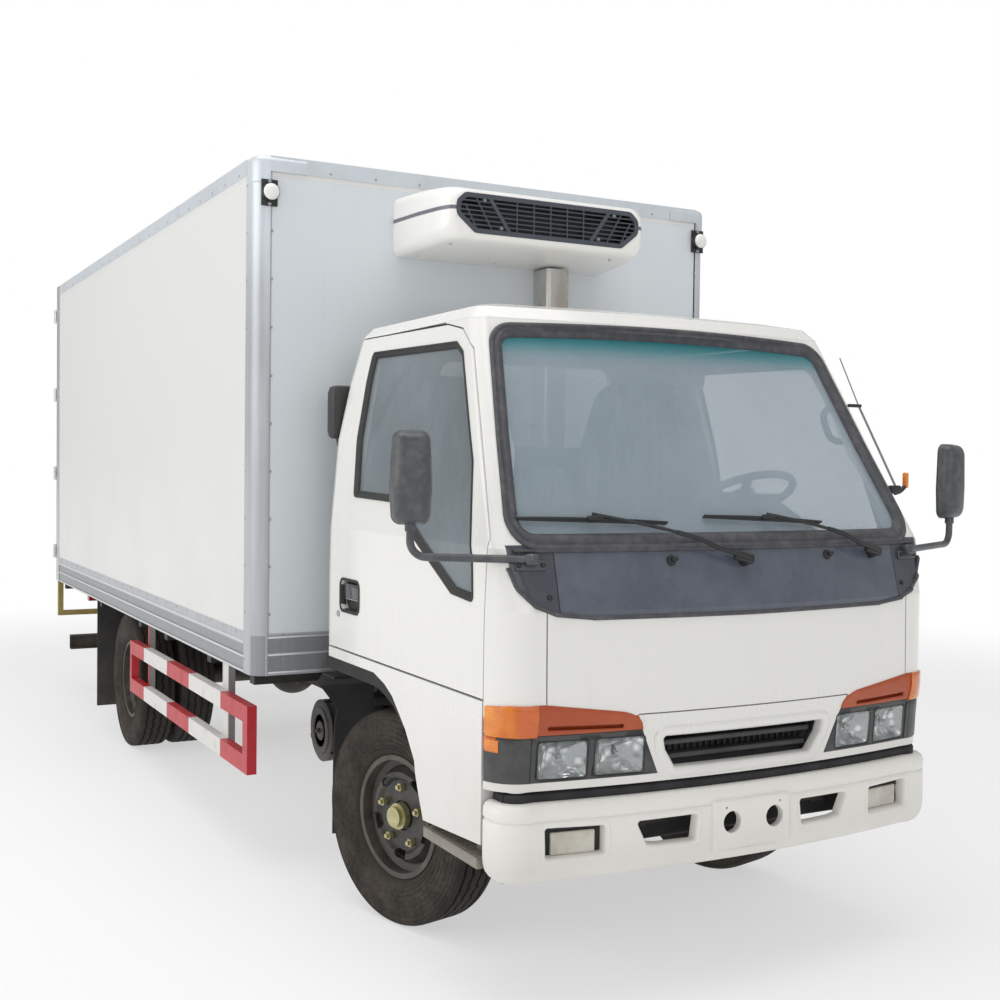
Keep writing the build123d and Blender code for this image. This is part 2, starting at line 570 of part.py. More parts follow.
nose = body & nose_zone
nose -= front_prism(GRILLE, AXLE_X + 800, high_x)
cowl_layer = hull - cab_hull(COWL_DEPTH)
nose -= front_prism(COWL, AXLE_X + 840, high_x) & (hull - cab_hull(COWL_DEPTH + FIT))
lamp_layer = (hull - cab_hull(LAMP_DEPTH)) & block((AXLE_X + SEAM_X + SEAM / 2 + 2, high_x), wide, (LAMP_FOOT, LAMP_TOP))
lamps = []
for _, side in SIDES:
    nose -= front_prism(lamp_outline(side), AXLE_X + 700, high_x)
    lamps.append(lamp_layer & front_prism(lamp_outline(side), AXLE_X + 700, high_x, 0, -FIT))
    for z in HINGE_HEIGHTS:
        nose += block((AXLE_X + SEAM_X + 8, AXLE_X + SEAM_X + 40), (side * (inner - 24), side * (inner + 2)), (z - LEAF, z))
        nose += block((AXLE_X + SEAM_X - 32, AXLE_X + SEAM_X + 9), (side * (inner - 24), side * (inner - 14)), (z - LEAF, z))
save("front_panel", nose)
save("cowl_panel", cowl_layer & front_prism(COWL, AXLE_X + 840, high_x, 0, -FIT))
save("headlamps", *lamps)

# grille: two thick bars and upright fins behind them, held in a frame behind the opening
GRILLE_BACK = AXLE_X + 925
frame_face = outline(GRILLE, 0, 24) - outline(GRILLE, 0, -10)
grille_frame = Pos(GRILLE_BACK, 0, 0) * extrude(Plane.YZ * frame_face, amount=18, dir=(1, 0, 0))
for z in (738, 782):
    bar = block((GRILLE_BACK + 10, GRILLE_BACK + 52), (-290 + (782 - z) * 0.4, 290 - (782 - z) * 0.4), (z - 9, z + 9))
    grille_frame += fillet(bar.edges().filter_by(Axis.Y), 6)
fin_count = 25
for number in range(fin_count):
    y = -288 + 576 * number / (fin_count - 1)
    grille_frame += block((GRILLE_BACK, GRILLE_BACK + 12), (y - 2, y + 2), (700 if abs(y) < 260 else 745, 824))
grille_frame += front_prism(GRILLE, GRILLE_BACK - 3, GRILLE_BACK + 1, 0, 10)
collar_face = outline(GRILLE, 0, 24) - outline(GRILLE, 0, 8)
collar = Pos(GRILLE_BACK, 0, 0) * extrude(Plane.YZ * collar_face, amount=90, dir=(1, 0, 0))
grille_frame += collar & cab_hull(CAB_SKIN + FIT) & block((GRILLE_BACK, high_x), wide, (716, 900))
save("grille", grille_frame)

# floor pan with engine tunnel, lower side panels round the wheel arches, and the pivot arms
TUNNEL_HALF = 320.0
TUNNEL_TOP = 1090.0
TUNNEL_METAL = 30.0
TUNNEL_FRONT = AXLE_X + 420
lower_zone = block((low_x, AXLE_X + SEAM_X - 7), wide, (460, FLOOR_Z[1]))
floor = (body & lower_zone) - side_prism(kb(ARCH), -outside, outside) - side_prism(kb(PANEL_BOTTOM), -outside, outside)
pan = block((CAB_REAR, AXLE_X + SEAM_X - 8), wide, FLOOR_Z) & cab_hull(CAB_SKIN - 1, 460)
pan += block((AXLE_X + SEAM_X - 60, AXLE_X + 1010), wide, FLOOR_Z) & cab_hull(CAB_SKIN + FIT, 460)
floor += pan
tunnel_x = (CAB_REAR + BACK_SKIN + FIT, TUNNEL_FRONT)
floor += block(tunnel_x, (-TUNNEL_HALF, TUNNEL_HALF), (FLOOR_Z[0], TUNNEL_TOP))
inside_half = TUNNEL_HALF - TUNNEL_METAL
floor -= block((CAB_REAR - 1, TUNNEL_FRONT - TUNNEL_METAL), (-inside_half, inside_half), (FLOOR_Z[0] - 60, TUNNEL_TOP - TUNNEL_METAL))
ARM = [(870, FLOOR_Z[0] + 1), (918, FLOOR_Z[0] + 1), (918, 705), (988, 618), (1000, 600), (984, 586), (870, 690)]
for _, side in SIDES:
    arm = side_prism(kb(ARM), side * ARM_Y[0], side * ARM_Y[1]) + across(TILT_X, TILT_Z, 17, side * ARM_Y[0], side * ARM_Y[1])
    floor += arm - across(TILT_X, TILT_Z, TILT_PIN + 0.05, side * ARM_Y[0], side * ARM_Y[1])
save("cab_floor", floor)

STEP_X = (478.0, 852.0)
STEP_Z = 468.0
step = block((AXLE_X + STEP_X[0], AXLE_X + STEP_X[1]), (CAB_HALF - 170, CAB_HALF + 10), (STEP_Z - 32, STEP_Z))
for x in (STEP_X[0] + 60, STEP_X[1] - 100):
    step += block((AXLE_X + x, AXLE_X + x + 40), (CAB_HALF - CAB_SKIN - 8, CAB_HALF - CAB_SKIN - FIT), (440, 560))
save("cab_steps", step, mirrored(step))

# dashboard across the cab, moulded to the inside of the nose
DASH = [(1010, 1120), (720, 1100), (655, 1180), (668, 1300), (760, 1348), (905, 1366), (1010, 1366)]
dash_form = side_prism(kb(DASH), -CAB_HALF, CAB_HALF) & cab_hull(CAB_SKIN + 28)
dash_form += block((AXLE_X + 850, AXLE_X + 1010), (-600, 600), (1130, 1300)) & cab_hull(CAB_SKIN + FIT)
dash_form -= side_prism(kb([(640, 1090), (720, 1090), (690, 1210), (640, 1210)]), -600, 180)

# steering wheel on its column; the column ends on the floor in front of the driver
WHEEL_Y = 413.0
WHEEL_RADIUS = 200.0
WHEEL_HUB = (AXLE_X + 468, WHEEL_Y, 1520.0)
WHEEL_TILT = 27.0           # degrees from level
COLUMN_RADIUS = 30.0
wheel = Torus(WHEEL_RADIUS - 14, 14) + Cylinder(46, 34)
for turn in (90, 210, 330):
    wheel += Rot(0, 0, turn) * block((30, WHEEL_RADIUS - 14), (-15, 15), (-8, 6))
wheel += Pos(0, 0, -250) * Cylinder(COLUMN_RADIUS, 470)
place_wheel = Pos(*WHEEL_HUB) * Rot(0, -WHEEL_TILT, 0)
save("steering_wheel", place_wheel * wheel)
save("dashboard", dash_form - place_wheel * Pos(0, 0, -260) * Cylinder(COLUMN_RADIUS + FIT, 500))

# seats: a base, a cushion and a back with its headrest for each of the two places
SEAT_Y = 410.0
seat_solids = []
for _, side in SIDES:
    y = (side * (SEAT_Y - 245), side * (SEAT_Y + 245))
    x = AXLE_X - 190
    base_y = (side * (TUNNEL_HALF + CLEAR), y[1])
    seat_solids.append(block((x, x + 420), base_y, (FLOOR_Z[1] + FIT, 1106 - FIT)))
    cushion = block((x - 14, x + 480), y, (1106, 1235))
    seat_solids.append(fillet(cushion.edges(), 30))
    back = side_prism([(x - 130, 1140), (x - 12, 1140), (x - 60, 1770), (x - 150, 1770)], y[0], y[1])
    back = fillet(back.edges(), 30)
    head = side_prism([(x - 140, 1780), (x - 62, 1780), (x - 70, 1965), (x - 140, 1965)], side * (SEAT_Y - 150), side * (SEAT_Y + 150))
    back += fillet(head.edges(), 26) + block((x - 110, x - 96), (side * (SEAT_Y - 60), side * (SEAT_Y + 60)), (1740, 1800))
    seat_solids.append(back)
save("seats", *seat_solids)

# mirrors: a tube from the cowl's corner out, back and up to an oblong head
MIRROR_Y = 1075.0
MIRROR_X = AXLE_X + 828
MIRROR_Z = (1450.0, 1722.0)
root = (AXLE_X + 952, 745, 1352)
elbow = (MIRROR_X, MIRROR_Y, 1362)
arm_path = FilletPolyline(root, elbow, (MIRROR_X, MIRROR_Y, MIRROR_Z[0] + 40), radius=45)
mirror_arm = sweep(Plane(arm_path @ 0, z_dir=arm_path % 0) * Circle(11), arm_path)
head = Pos(MIRROR_X, MIRROR_Y, (MIRROR_Z[0] + MIRROR_Z[1]) / 2) * Box(64, 172, MIRROR_Z[1] - MIRROR_Z[0])
head = fillet(head.edges().filter_by(Axis.X), 40)
head = fillet(head.faces().sort_by(Axis.X)[-1].edges(), 24)
mirror_set = mirror_arm + head + (Pos(*root) * Sphere(19))
mirror_set -= cab_hull(-FIT)
save("mirrors", mirror_set, mirrored(mirror_set))

# ---------------------------------------------------------------- bumper
BUMPER_Z = (402.0, 645.0)
BUMPER_METAL = 4.0
BUMPER_NOSE = 1041.0
BUMPER_END = 866.0
PLATE_FIELD = (150.0, 447.0, 600.0)     # half width, foot, top
PLATE_SCREWS = 210.0
PLATE_SCREW_Z = 581.0
SCREW_RADIUS = 4.0


def bumper_form(inset, z0, z1, back):
    """The bumper's plan: a bowed front, round corners and straight ends."""
    nose = AXLE_X + BUMPER_NOSE - inset
    bend_y = 735.0
    bend_x = nose - bend_y ** 2 / (2 * FRONT_RADIUS)
    side_y = CAB_HALF - inset
    end_x = AXLE_X + 925
    middle = (end_x + 0.72 * (bend_x - end_x), bend_y + 0.72 * (side_y - bend_y))
    with BuildSketch(Plane.XY.offset(z0)) as sketch:
        with BuildLine():
            ThreePointArc((bend_x, -bend_y), (nose, 0), (bend_x, bend_y))
            for side in (-1, 1):
                ThreePointArc((bend_x, side * bend_y), (middle[0], side * middle[1]), (end_x, side * side_y))
                Line((end_x, side * side_y), (AXLE_X + back, side * side_y))
            Line((AXLE_X + back, -side_y), (AXLE_X + back, side_y))
        make_face()
    return extrude(sketch.sketch, amount=z1 - z0)


low, high = BUMPER_Z
bumper = bumper_form(0, low, high, BUMPER_END)
bumper -= bumper_form(BUMPER_METAL, low + BUMPER_METAL, high - BUMPER_METAL, BUMPER_END - 60)
bumper -= bumper_form(BUMPER_METAL + 10, low - 5, high + 5, BUMPER_END - 60)
half, foot, top = PLATE_FIELD
field = (bumper_form(-25, foot, top, BUMPER_END) - bumper_form(2, foot - 5, top + 5, BUMPER_END)) & block(
    (AXLE_X + 900, AXLE_X + 1100), (-half, half), (foot, top))
bumper += field
for y in (-1, 1):
    bumper -= along(y * PLATE_SCREWS / 2, PLATE_SCREW_Z, SCREW_RADIUS, AXLE_X + 980, AXLE_X + 1100)
    bumper -= along(y * 83, 535, 34, AXLE_X + 980, AXLE_X + 1100)
    vent = [(y * 197, 573), (y * 421, 570), (y * 380, 489), (y * 208, 485)]
    bumper -= front_prism(vent, AXLE_X + 950, AXLE_X + 1100, 14)
    lamp_hole = [(y * 517, 567), (y * 716, 577), (y * 712, 477), (y * 517, 479)]
    bumper -= front_prism(lamp_hole, AXLE_X + 900, AXLE_X + 1100, 14)
    stay = (y * (RAIL_Y - 12), y * RAIL_Y)
    bumper += block((RAIL_FRONT + FIT, AXLE_X + 1023), stay, (585, high - BUMPER_METAL))
save("bumper", bumper)

# ---------------------------------------------------------------- insulated box
RAIL_TOP_Z = 955.0          # top of the bottom rails' flange
TRIM_FOOT = 2748.0
TRIM = 3.0
POST = 60.0                 # radius of the front corner posts
POST_LEG = 120.0
LAP = 1.0                   # joint between two extrusions
DOOR_THICK = 80.0
floor_top = BOX_BOTTOM + FLOOR_DEPTH
wall_y = BOX_HALF - TRIM
front_in = BOX_FRONT - WALL
ring_depth = 100.0
ring_front = BOX_REAR + ring_depth
wall_z = (floor_top + FIT, BOX_TOP - TRIM - WALL - FIT)
side_walls = [block((ring_front + FIT, front_in - FIT), (side * (wall_y - WALL), side * wall_y), wall_z) for _, side in SIDES]
save("box_side_walls", *side_walls)
corner_cut = POST + 4
front_plan = [(front_in, -wall_y), (BOX_FRONT - corner_cut, -wall_y), (BOX_FRONT - TRIM, -wall_y + corner_cut),
              (BOX_FRONT - TRIM, wall_y - corner_cut), (BOX_FRONT - corner_cut, wall_y), (front_in, wall_y)]
save("box_front_wall", plan_prism(front_plan, floor_top + FIT, wall_z[1]))
floor_y = wall_y - 5
floor_nose = BOX_FRONT - TRIM - FIT
floor_plan = [(ring_front + FIT, -floor_y), (BOX_FRONT - corner_cut, -floor_y), (floor_nose, -wall_y + corner_cut),
              (floor_nose, wall_y - corner_cut), (BOX_FRONT - corner_cut, floor_y), (ring_front + FIT, floor_y)]
save("box_floor", plan_prism(floor_plan, BOX_BOTTOM, floor_top))
roof_plan = [(ring_front + FIT, -wall_y), (BOX_FRONT - corner_cut, -wall_y), (BOX_FRONT - TRIM, -wall_y + corner_cut),
             (BOX_FRONT - TRIM, wall_y - corner_cut), (BOX_FRONT - corner_cut, wall_y), (ring_front + FIT, wall_y)]
save("box_roof", plan_prism(roof_plan, wall_z[1] + FIT, BOX_TOP - TRIM))


def side_rail(side, x0, x1):
    steps = [(0, 9), (-5, 9), (-5, 60), (0, 60), (0, 70), (-5, 70), (-5, 112), (0, 112), (0, 131), (-1, 131), (-1, RAIL_TOP_Z - BOX_BOTTOM)]
    top = RAIL_TOP_Z - BOX_BOTTOM
    points = [(0, 0)] + steps + [(-TRIM + FIT, top), (-TRIM + FIT, floor_top - BOX_BOTTOM), (-7.5, floor_top - BOX_BOTTOM), (-7.5, 0)]
    points = [(side * (BOX_HALF + y), BOX_BOTTOM + z) for y, z in points]
    return front_prism(points, x0, x1)


def front_rail(y0, y1):
    steps = [(0, 8), (-1, 8), (-1, 80), (0, 80), (0, 88), (-1, 88), (-1, 146), (0, 146), (0, 154), (-1, 154), (-1, RAIL_TOP_Z - BOX_BOTTOM)]
    points = [(0, 0)] + steps + [(-TRIM + FIT, RAIL_TOP_Z - BOX_BOTTOM), (-TRIM + FIT, 0)]
    return side_prism([(BOX_FRONT + x, BOX_BOTTOM + z) for x, z in points], y0, y1)


def corner_post(side):
    """A rounded aluminium angle over the front corner."""
    bend = 0.7071 * POST
    centre = (BOX_FRONT - POST, BOX_HALF - POST)
    with BuildSketch(Plane.XY.offset(BOX_BOTTOM)) as sketch:
        with BuildLine():
            Line((BOX_FRONT - POST_LEG, BOX_HALF), (BOX_FRONT - POST, BOX_HALF))
            ThreePointArc((BOX_FRONT - POST, BOX_HALF), (centre[0] + bend, centre[1] + bend), (BOX_FRONT, BOX_HALF - POST))
            inset = TRIM - FIT
            Line((BOX_FRONT, BOX_HALF - POST), (BOX_FRONT - inset, BOX_HALF - POST))
            ThreePointArc((BOX_FRONT - inset, BOX_HALF - POST), (centre[0] + bend - 2, centre[1] + bend - 2),
                          (BOX_FRONT - POST, BOX_HALF - inset))
            Line((BOX_FRONT - POST, BOX_HALF - inset), (BOX_FRONT - POST_LEG, BOX_HALF - inset))
            Line((BOX_FRONT - POST_LEG, BOX_HALF - inset), (BOX_FRONT - POST_LEG, BOX_HALF))
        make_face()
    post = extrude(sketch.sketch, amount=TRIM_FOOT - LAP - BOX_BOTTOM)
    return post if side > 0 else mirrored(post)


profiles = []
for _, side in SIDES:
    profiles.append(corner_post(side))
    profiles.append(side_rail(side, ring_front + FIT, BOX_FRONT - POST_LEG - LAP))
    top_angle = [(side * BOX_HALF, TRIM_FOOT), (side * BOX_HALF, BOX_TOP), (side * (BOX_HALF - 60), BOX_TOP),
                 (side * (BOX_HALF - 60), BOX_TOP - TRIM + FIT), (side * (BOX_HALF - TRIM + FIT), BOX_TOP - TRIM + FIT),
                 (side * (BOX_HALF - TRIM + FIT), TRIM_FOOT)]
    profiles.append(front_prism(top_angle, ring_front + FIT, BOX_FRONT - POST_LEG - LAP))
rail_half = BOX_HALF - POST - LAP
profiles.append(front_rail(-rail_half, rail_half))
cap_angle = [(BOX_FRONT, TRIM_FOOT), (BOX_FRONT, BOX_TOP), (BOX_FRONT - 60, BOX_TOP), (BOX_FRONT - 60, BOX_TOP - TRIM + FIT),
             (BOX_FRONT - TRIM + FIT, BOX_TOP - TRIM + FIT), (BOX_FRONT - TRIM + FIT, TRIM_FOOT)]
profiles.append(side_prism(cap_angle, -rail_half, rail_half))
save("box_edge_profiles", *profiles)

# rear ring with its door opening, hinge ears and pins
RING_SIDE = 72.0
HINGE_X = BOX_REAR - 17.5
HINGE_Y = BOX_HALF + 3
PIN = 6.0
REAR_HINGES = [BOX_BOTTOM + 200 + step * (BOX_TOP - BOX_BOTTOM - 400) / 3 for step in range(4)]
ring = block((BOX_REAR, ring_front), (-BOX_HALF, BOX_HALF), (BOX_BOTTOM, BOX_TOP))
opening_half = BOX_HALF - RING_SIDE
opening_z = (floor_top, BOX_TOP - RING_SIDE)
ring -= block((BOX_REAR - 1, ring_front + 1), (-opening_half, opening_half), opening_z)
for _, side in SIDES:
    for z in REAR_HINGES:
        for low_z in (z - 46, z + 26):
            ear = block((HINGE_X, BOX_REAR + 2), (side * (HINGE_Y - 50), side * HINGE_Y), (low_z, low_z + 20))
            ring += ear + upright(HINGE_X, side * HINGE_Y, 13, low_z, low_z + 20)
        ring += upright(HINGE_X, side * HINGE_Y, PIN, z - 46, z + 46)
    lock_y = side * 60
    for low_z, high_z in ((BOX_BOTTOM + 10, BOX_BOTTOM + 50), (BOX_TOP - 50, BOX_TOP - 10)):
        keeper = block((BOX_REAR - 12, BOX_REAR + 2), (lock_y - 34, lock_y + 34), (low_z, high_z))
        ring += keeper
save("box_rear_frame", ring)


def rear_door(side):
    """Plug door in two steps, with strap hinges and a lock rod with handle."""
    gap = 6.0
    face_z = (opening_z[0] + gap, opening_z[1] - gap)
    door = block((BOX_REAR, BOX_REAR + 25), (gap / 2, opening_half - gap), face_z)
    door += block((BOX_REAR + 24, BOX_REAR + DOOR_THICK), (18, opening_half - 16), (face_z[0] + 8, face_z[1] - 10))
    for z in REAR_HINGES:
        strap = block((HINGE_X - 3, HINGE_X + 5), (opening_half - 260, HINGE_Y - 8), (z - 24, z + 24))
        strap += block((HINGE_X + 2, BOX_REAR + 2), (opening_half - 260, opening_half - 30), (z - 24, z + 24))
        strap += upright(HINGE_X, HINGE_Y, 13, z - 24, z + 24)
        door += strap - upright(HINGE_X, HINGE_Y, PIN + 0.05, z - 30, z + 30)
    rod_x = BOX_REAR - 24
    door += upright(rod_x, 60, 13.5, face_z[0] - 20, face_z[1] + 20)
    for z in (face_z[0] + 160, 1350, 1850, face_z[1] - 160):
        door += block((rod_x, BOX_REAR + 2), (40, 80), (z - 20, z + 20))
    for z in (face_z[0] - 20, face_z[1] - 10):
        door += block((rod_x - 10, BOX_REAR - 13), (38, 82), (z, z + 30))
    door += block((BOX_REAR - REAR_HARDWARE, rod_x - 6), (60, 330), (1300, 1330))
    door += block((BOX_REAR - REAR_HARDWARE + 2, BOX_REAR + 2), (290, 320), (1292, 1338))
    return door if side > 0 else mirrored(door)


for name, side in SIDES:
    save(f"rear_door_{name}", rear_door(side))

# runners on the rails and bearers across them, under the floor
runner_z = (FRAME_TOP + FIT, 741.0)
bearers = [block((RAIL_REAR + 20, BOX_FRONT - 80), (side * (RAIL_Y - FLANGE), side * RAIL_Y), runner_z) for _, side in SIDES]
clear_wheel = TYRE_RADIUS + 110
for station in (BOX_REAR + 110, REAR_X - clear_wheel - 60, REAR_X + clear_wheel, REAR_X + clear_wheel + 560, AXLE_X - 1430,
                BOX_FRONT - 160):
    bearers.append(block((station, station + 60), (-BOX_HALF + 40, BOX_HALF - 40), (runner_z[1] + FIT, BOX_BOTTOM - FIT)))
save("box_bearers", *bearers)

# ---------------------------------------------------------------- cooling unit and its duct
UNIT_Z = (2487.0, 2666.0)
UNIT_FRONT = BOX_FRONT + 414.5
UNIT_ROOT = 497.0
UNIT_NOSE = 412.0
unit_sections = []
wall_face = BOX_FRONT - TRIM + FIT
for x, half_y, low_z, high_z in ((wall_face, UNIT_ROOT, UNIT_Z[0] - 25, UNIT_Z[1] + 35), (BOX_FRONT + 250, UNIT_ROOT - 22, UNIT_Z[0] - 14, UNIT_Z[1] + 32),
                                 (UNIT_FRONT - 40, UNIT_NOSE + 20, UNIT_Z[0] - 4, UNIT_Z[1] + 16), (UNIT_FRONT, UNIT_NOSE - 10, UNIT_Z[0] + 18, UNIT_Z[1] - 6)):
    sheet = Plane.YZ.offset(x) * Pos(0, (low_z + high_z) / 2) * RectangleRounded(2 * half_y, high_z - low_z, 50)
    unit_sections.append(sheet)
unit = loft(unit_sections, ruled=True)
for number in range(11):
    z = UNIT_Z[0] + 34 + number * 11
    unit -= block((UNIT_FRONT - 14, UNIT_FRONT + 1), (-UNIT_NOSE + 60, UNIT_NOSE - 60), (z, z + 5))
save("cooling_unit", unit)

DUCT_Y = (160.0, 270.0)
DUCT_FRONT = BOX_FRONT + 118
duct = block((wall_face, DUCT_FRONT), DUCT_Y, (1130, UNIT_Z[0] - 30))
save("pipe_duct", fillet(duct.edges().filter_by(Axis.Z).group_by(Axis.X)[-1], 18))

# ---------------------------------------------------------------- guards, flaps, rear pieces
GUARD_Y = (1010.0, 1050.0)
GUARD_X = (AXLE_X - WHEELBASE + TYRE_RADIUS - 14, AXLE_X - 782)
GUARD_TOP = (580.0, 650.0)
GUARD_LOW = (375.0, 448.0)
guards = []
guard_in = (GUARD_Y[0] - 30, GUARD_Y[0] + 1)
for _, side in SIDES:
    y = (side * GUARD_Y[0], side * GUARD_Y[1])
    guard = block(GUARD_X, y, GUARD_TOP) + block(GUARD_X, y, GUARD_LOW)
    guard += block((GUARD_X[1] - 62, GUARD_X[1]), y, (GUARD_LOW[0], GUARD_TOP[1]))
    guard += block((GUARD_X[0], GUARD_X[0] + 36), y, (GUARD_LOW[0], GUARD_TOP[1]))
    for x, width in ((AXLE_X - 1262, 84), (GUARD_X[0] + 250, 26)):
        post_y = (side * guard_in[0], side * guard_in[1])
        guard += block((x, x + width), post_y, (GUARD_LOW[0], BOX_BOTTOM - FIT))
    guards.append(guard)
save("side_guards", *guards)

flaps = []
for _, side in SIDES:
    wing = [(-CAB_BEHIND_AXLE - 12, 800), (-560, 800), (-640, 740), (-690, 560), (-705, 380)]
    centre = [(AXLE_X + x, z) for x, z in wing]
    face = Plane.XZ * make_face(band(centre, 8))
    y0, y1 = side * 560, side * 815
    fender = Pos(0, max(y0, y1), 0) * extrude(face, amount=255, dir=(0, -1, 0))
    fender += block((AXLE_X - 710, AXLE_X - 700), (y0 - side * 6, y1), (125, 400))
    fender += block((AXLE_X - 640, AXLE_X - 600), (side * (RAIL_Y + FIT), y0 + side * 20), (640, 672))
    fender += block((AXLE_X - 648, AXLE_X - 640), (y0, y0 + side * 20), (560, 745))
    flaps.append(fender)
    rear_x = REAR_X - TYRE_RADIUS - 312
    flaps.append(block((rear_x - 8, rear_x), (side * 570, side * 1020), (110, BOX_BOTTOM - FIT)))
save("mud_flaps", *flaps)

UNDERRUN_X = BOX_REAR + 170
underrun = block((UNDERRUN_X - 60, UNDERRUN_X), (-1000, 1000), (325, 420))
underrun -= block((UNDERRUN_X - 54, UNDERRUN_X + 1), (-1001, 1001), (331, 414))
for _, side in SIDES:
    hanger = block((UNDERRUN_X - 55, UNDERRUN_X + 40), (side * (RAIL_Y + FIT), side * (RAIL_Y + 10)), (345, FRAME_TOP - 10))
    underrun += hanger
save("underrun_bar", underrun)

STEP_TUBE = 34.0
rear_step = block((BOX_REAR + 20, BOX_REAR + 20 + STEP_TUBE), (-1066, 1066), (548, 548 + STEP_TUBE))
for _, side in SIDES:
    rear_step += block((BOX_REAR + 20, BOX_REAR + 20 + STEP_TUBE), (side * (1066 - STEP_TUBE), side * 1066), (548, BOX_BOTTOM - FIT))
save("rear_step", rear_step)

lamps_rear = [block((RAIL_REAR - 70, RAIL_REAR - 10), (side * 560, side * 860), (640, 740)) for _, side in SIDES]
for index, (_, side) in enumerate(SIDES):
    lamps_rear[index] += block((RAIL_REAR - 50, RAIL_REAR - 30), (side * 640, side * 680), (735, BOX_BOTTOM - FIT))
save("rear_lamps", *lamps_rear)

plates = []
for _, side in SIDES:
    plate_x = (BOX_FRONT + FIT, BOX_FRONT + 6)
    plate = block(plate_x, (side * 986, side * (BOX_HALF - POST + 40)), (2612, 2714))
    plates.append(plate + along(side * 1006, 2663, 30, BOX_FRONT + 5, BOX_FRONT + 26))
save("marker_lamps", *plates)
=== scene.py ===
"""A light cab-over refrigerated truck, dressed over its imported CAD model. Metres, +X forward, +Z up."""

import math

import bpy
from mathutils import Matrix, Vector
from mathutils.bvhtree import BVHTree


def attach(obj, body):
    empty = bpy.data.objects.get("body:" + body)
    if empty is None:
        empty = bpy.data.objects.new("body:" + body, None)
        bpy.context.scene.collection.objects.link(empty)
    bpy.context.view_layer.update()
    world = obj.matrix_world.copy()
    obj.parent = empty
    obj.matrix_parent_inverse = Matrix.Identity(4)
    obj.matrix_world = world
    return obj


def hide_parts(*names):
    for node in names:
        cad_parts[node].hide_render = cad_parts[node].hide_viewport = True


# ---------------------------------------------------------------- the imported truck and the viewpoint
# Every CAD node arrives at rest in the truck's own frame. The camera stands ahead of the truck's
# right front corner at eye height, as somebody walking up to it would.
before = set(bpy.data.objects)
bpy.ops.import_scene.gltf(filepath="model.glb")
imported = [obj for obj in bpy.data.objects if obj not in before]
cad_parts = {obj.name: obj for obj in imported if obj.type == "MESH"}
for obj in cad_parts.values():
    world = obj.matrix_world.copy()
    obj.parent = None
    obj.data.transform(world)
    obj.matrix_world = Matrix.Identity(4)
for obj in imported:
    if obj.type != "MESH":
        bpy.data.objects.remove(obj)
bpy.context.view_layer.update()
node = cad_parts
bpy.ops.object.select_all(action="DESELECT")

LENS_MM, SENSOR_MM = 46.40, 36.0
EYE = Vector((6.23835, -2.5910, 1.62547))
YAW, PITCH, ROLL = math.radians(28.2662), math.radians(1.56377), math.radians(0.71894)
ahead = Vector((-math.cos(YAW) * math.cos(PITCH), math.sin(YAW) * math.cos(PITCH), -math.sin(PITCH)))
level = ahead.cross(Vector((0, 0, 1))).normalized()
upward = level.cross(ahead)
right = math.cos(ROLL) * level + math.sin(ROLL) * upward
over = math.cos(ROLL) * upward - math.sin(ROLL) * level
bpy.ops.object.camera_add()
camera = bpy.context.object
camera.matrix_world = Matrix.Translation(EYE) @ Matrix((right, over, -ahead)).transposed().to_4x4()
camera.data.lens = LENS_MM
camera.data.sensor_width = SENSOR_MM
camera.data.clip_end = 300.0
bpy.context.scene.camera = camera
bpy.context.scene.view_settings.view_transform = "Standard"

# ---------------------------------------------------------------- chassis, axles and springs
# Pressed channel rails, a forged front beam and a banjo rear axle, all sprayed satin black at the
# works and dusty since: tan dust lies thicker on the lower parts and in patches.


class Signal:
    """One output of a shader node. Arithmetic on it adds Math nodes to the same finish."""

    def __init__(self, finish, socket):
        self.finish = finish
        self.socket = socket

    def maths(self, operation, *values):
        return self.finish.node("Math", {"operation": operation}, dict(enumerate((self,) + values)))

    def __add__(self, other):
        return self.maths("ADD", other)

    def __sub__(self, other):
        return self.maths("SUBTRACT", other)

    def __mul__(self, other):
        return self.maths("MULTIPLY", other)

    def __rsub__(self, other):
        return self.finish.node("Math", {"operation": "SUBTRACT"}, {0: other, 1: self})

    def __abs__(self):
        return self.maths("ABSOLUTE")

    __radd__ = __add__
    __rmul__ = __mul__

    def rise(self, start, end):
        """0 before start, 1 past end, smooth between; start may be the larger."""
        return self.finish.node("MapRange", {"interpolation_type": "SMOOTHSTEP"},
                                {"Value": self, "From Min": start, "From Max": end})

    def line(self, centre, width):
        """1 on a stripe of that half width, 0 away from it."""
        return abs(self - centre).rise(width * 1.3, width * 0.7)


def colour(code):
    """The linear colour of a #rrggbb code."""
    parts = [int(code[i:i + 2], 16) / 255 for i in (1, 3, 5)]
    return tuple(p / 12.92 if p <= 0.04045 else ((p + 0.055) / 1.055) ** 2.4 for p in parts) + (1.0,)


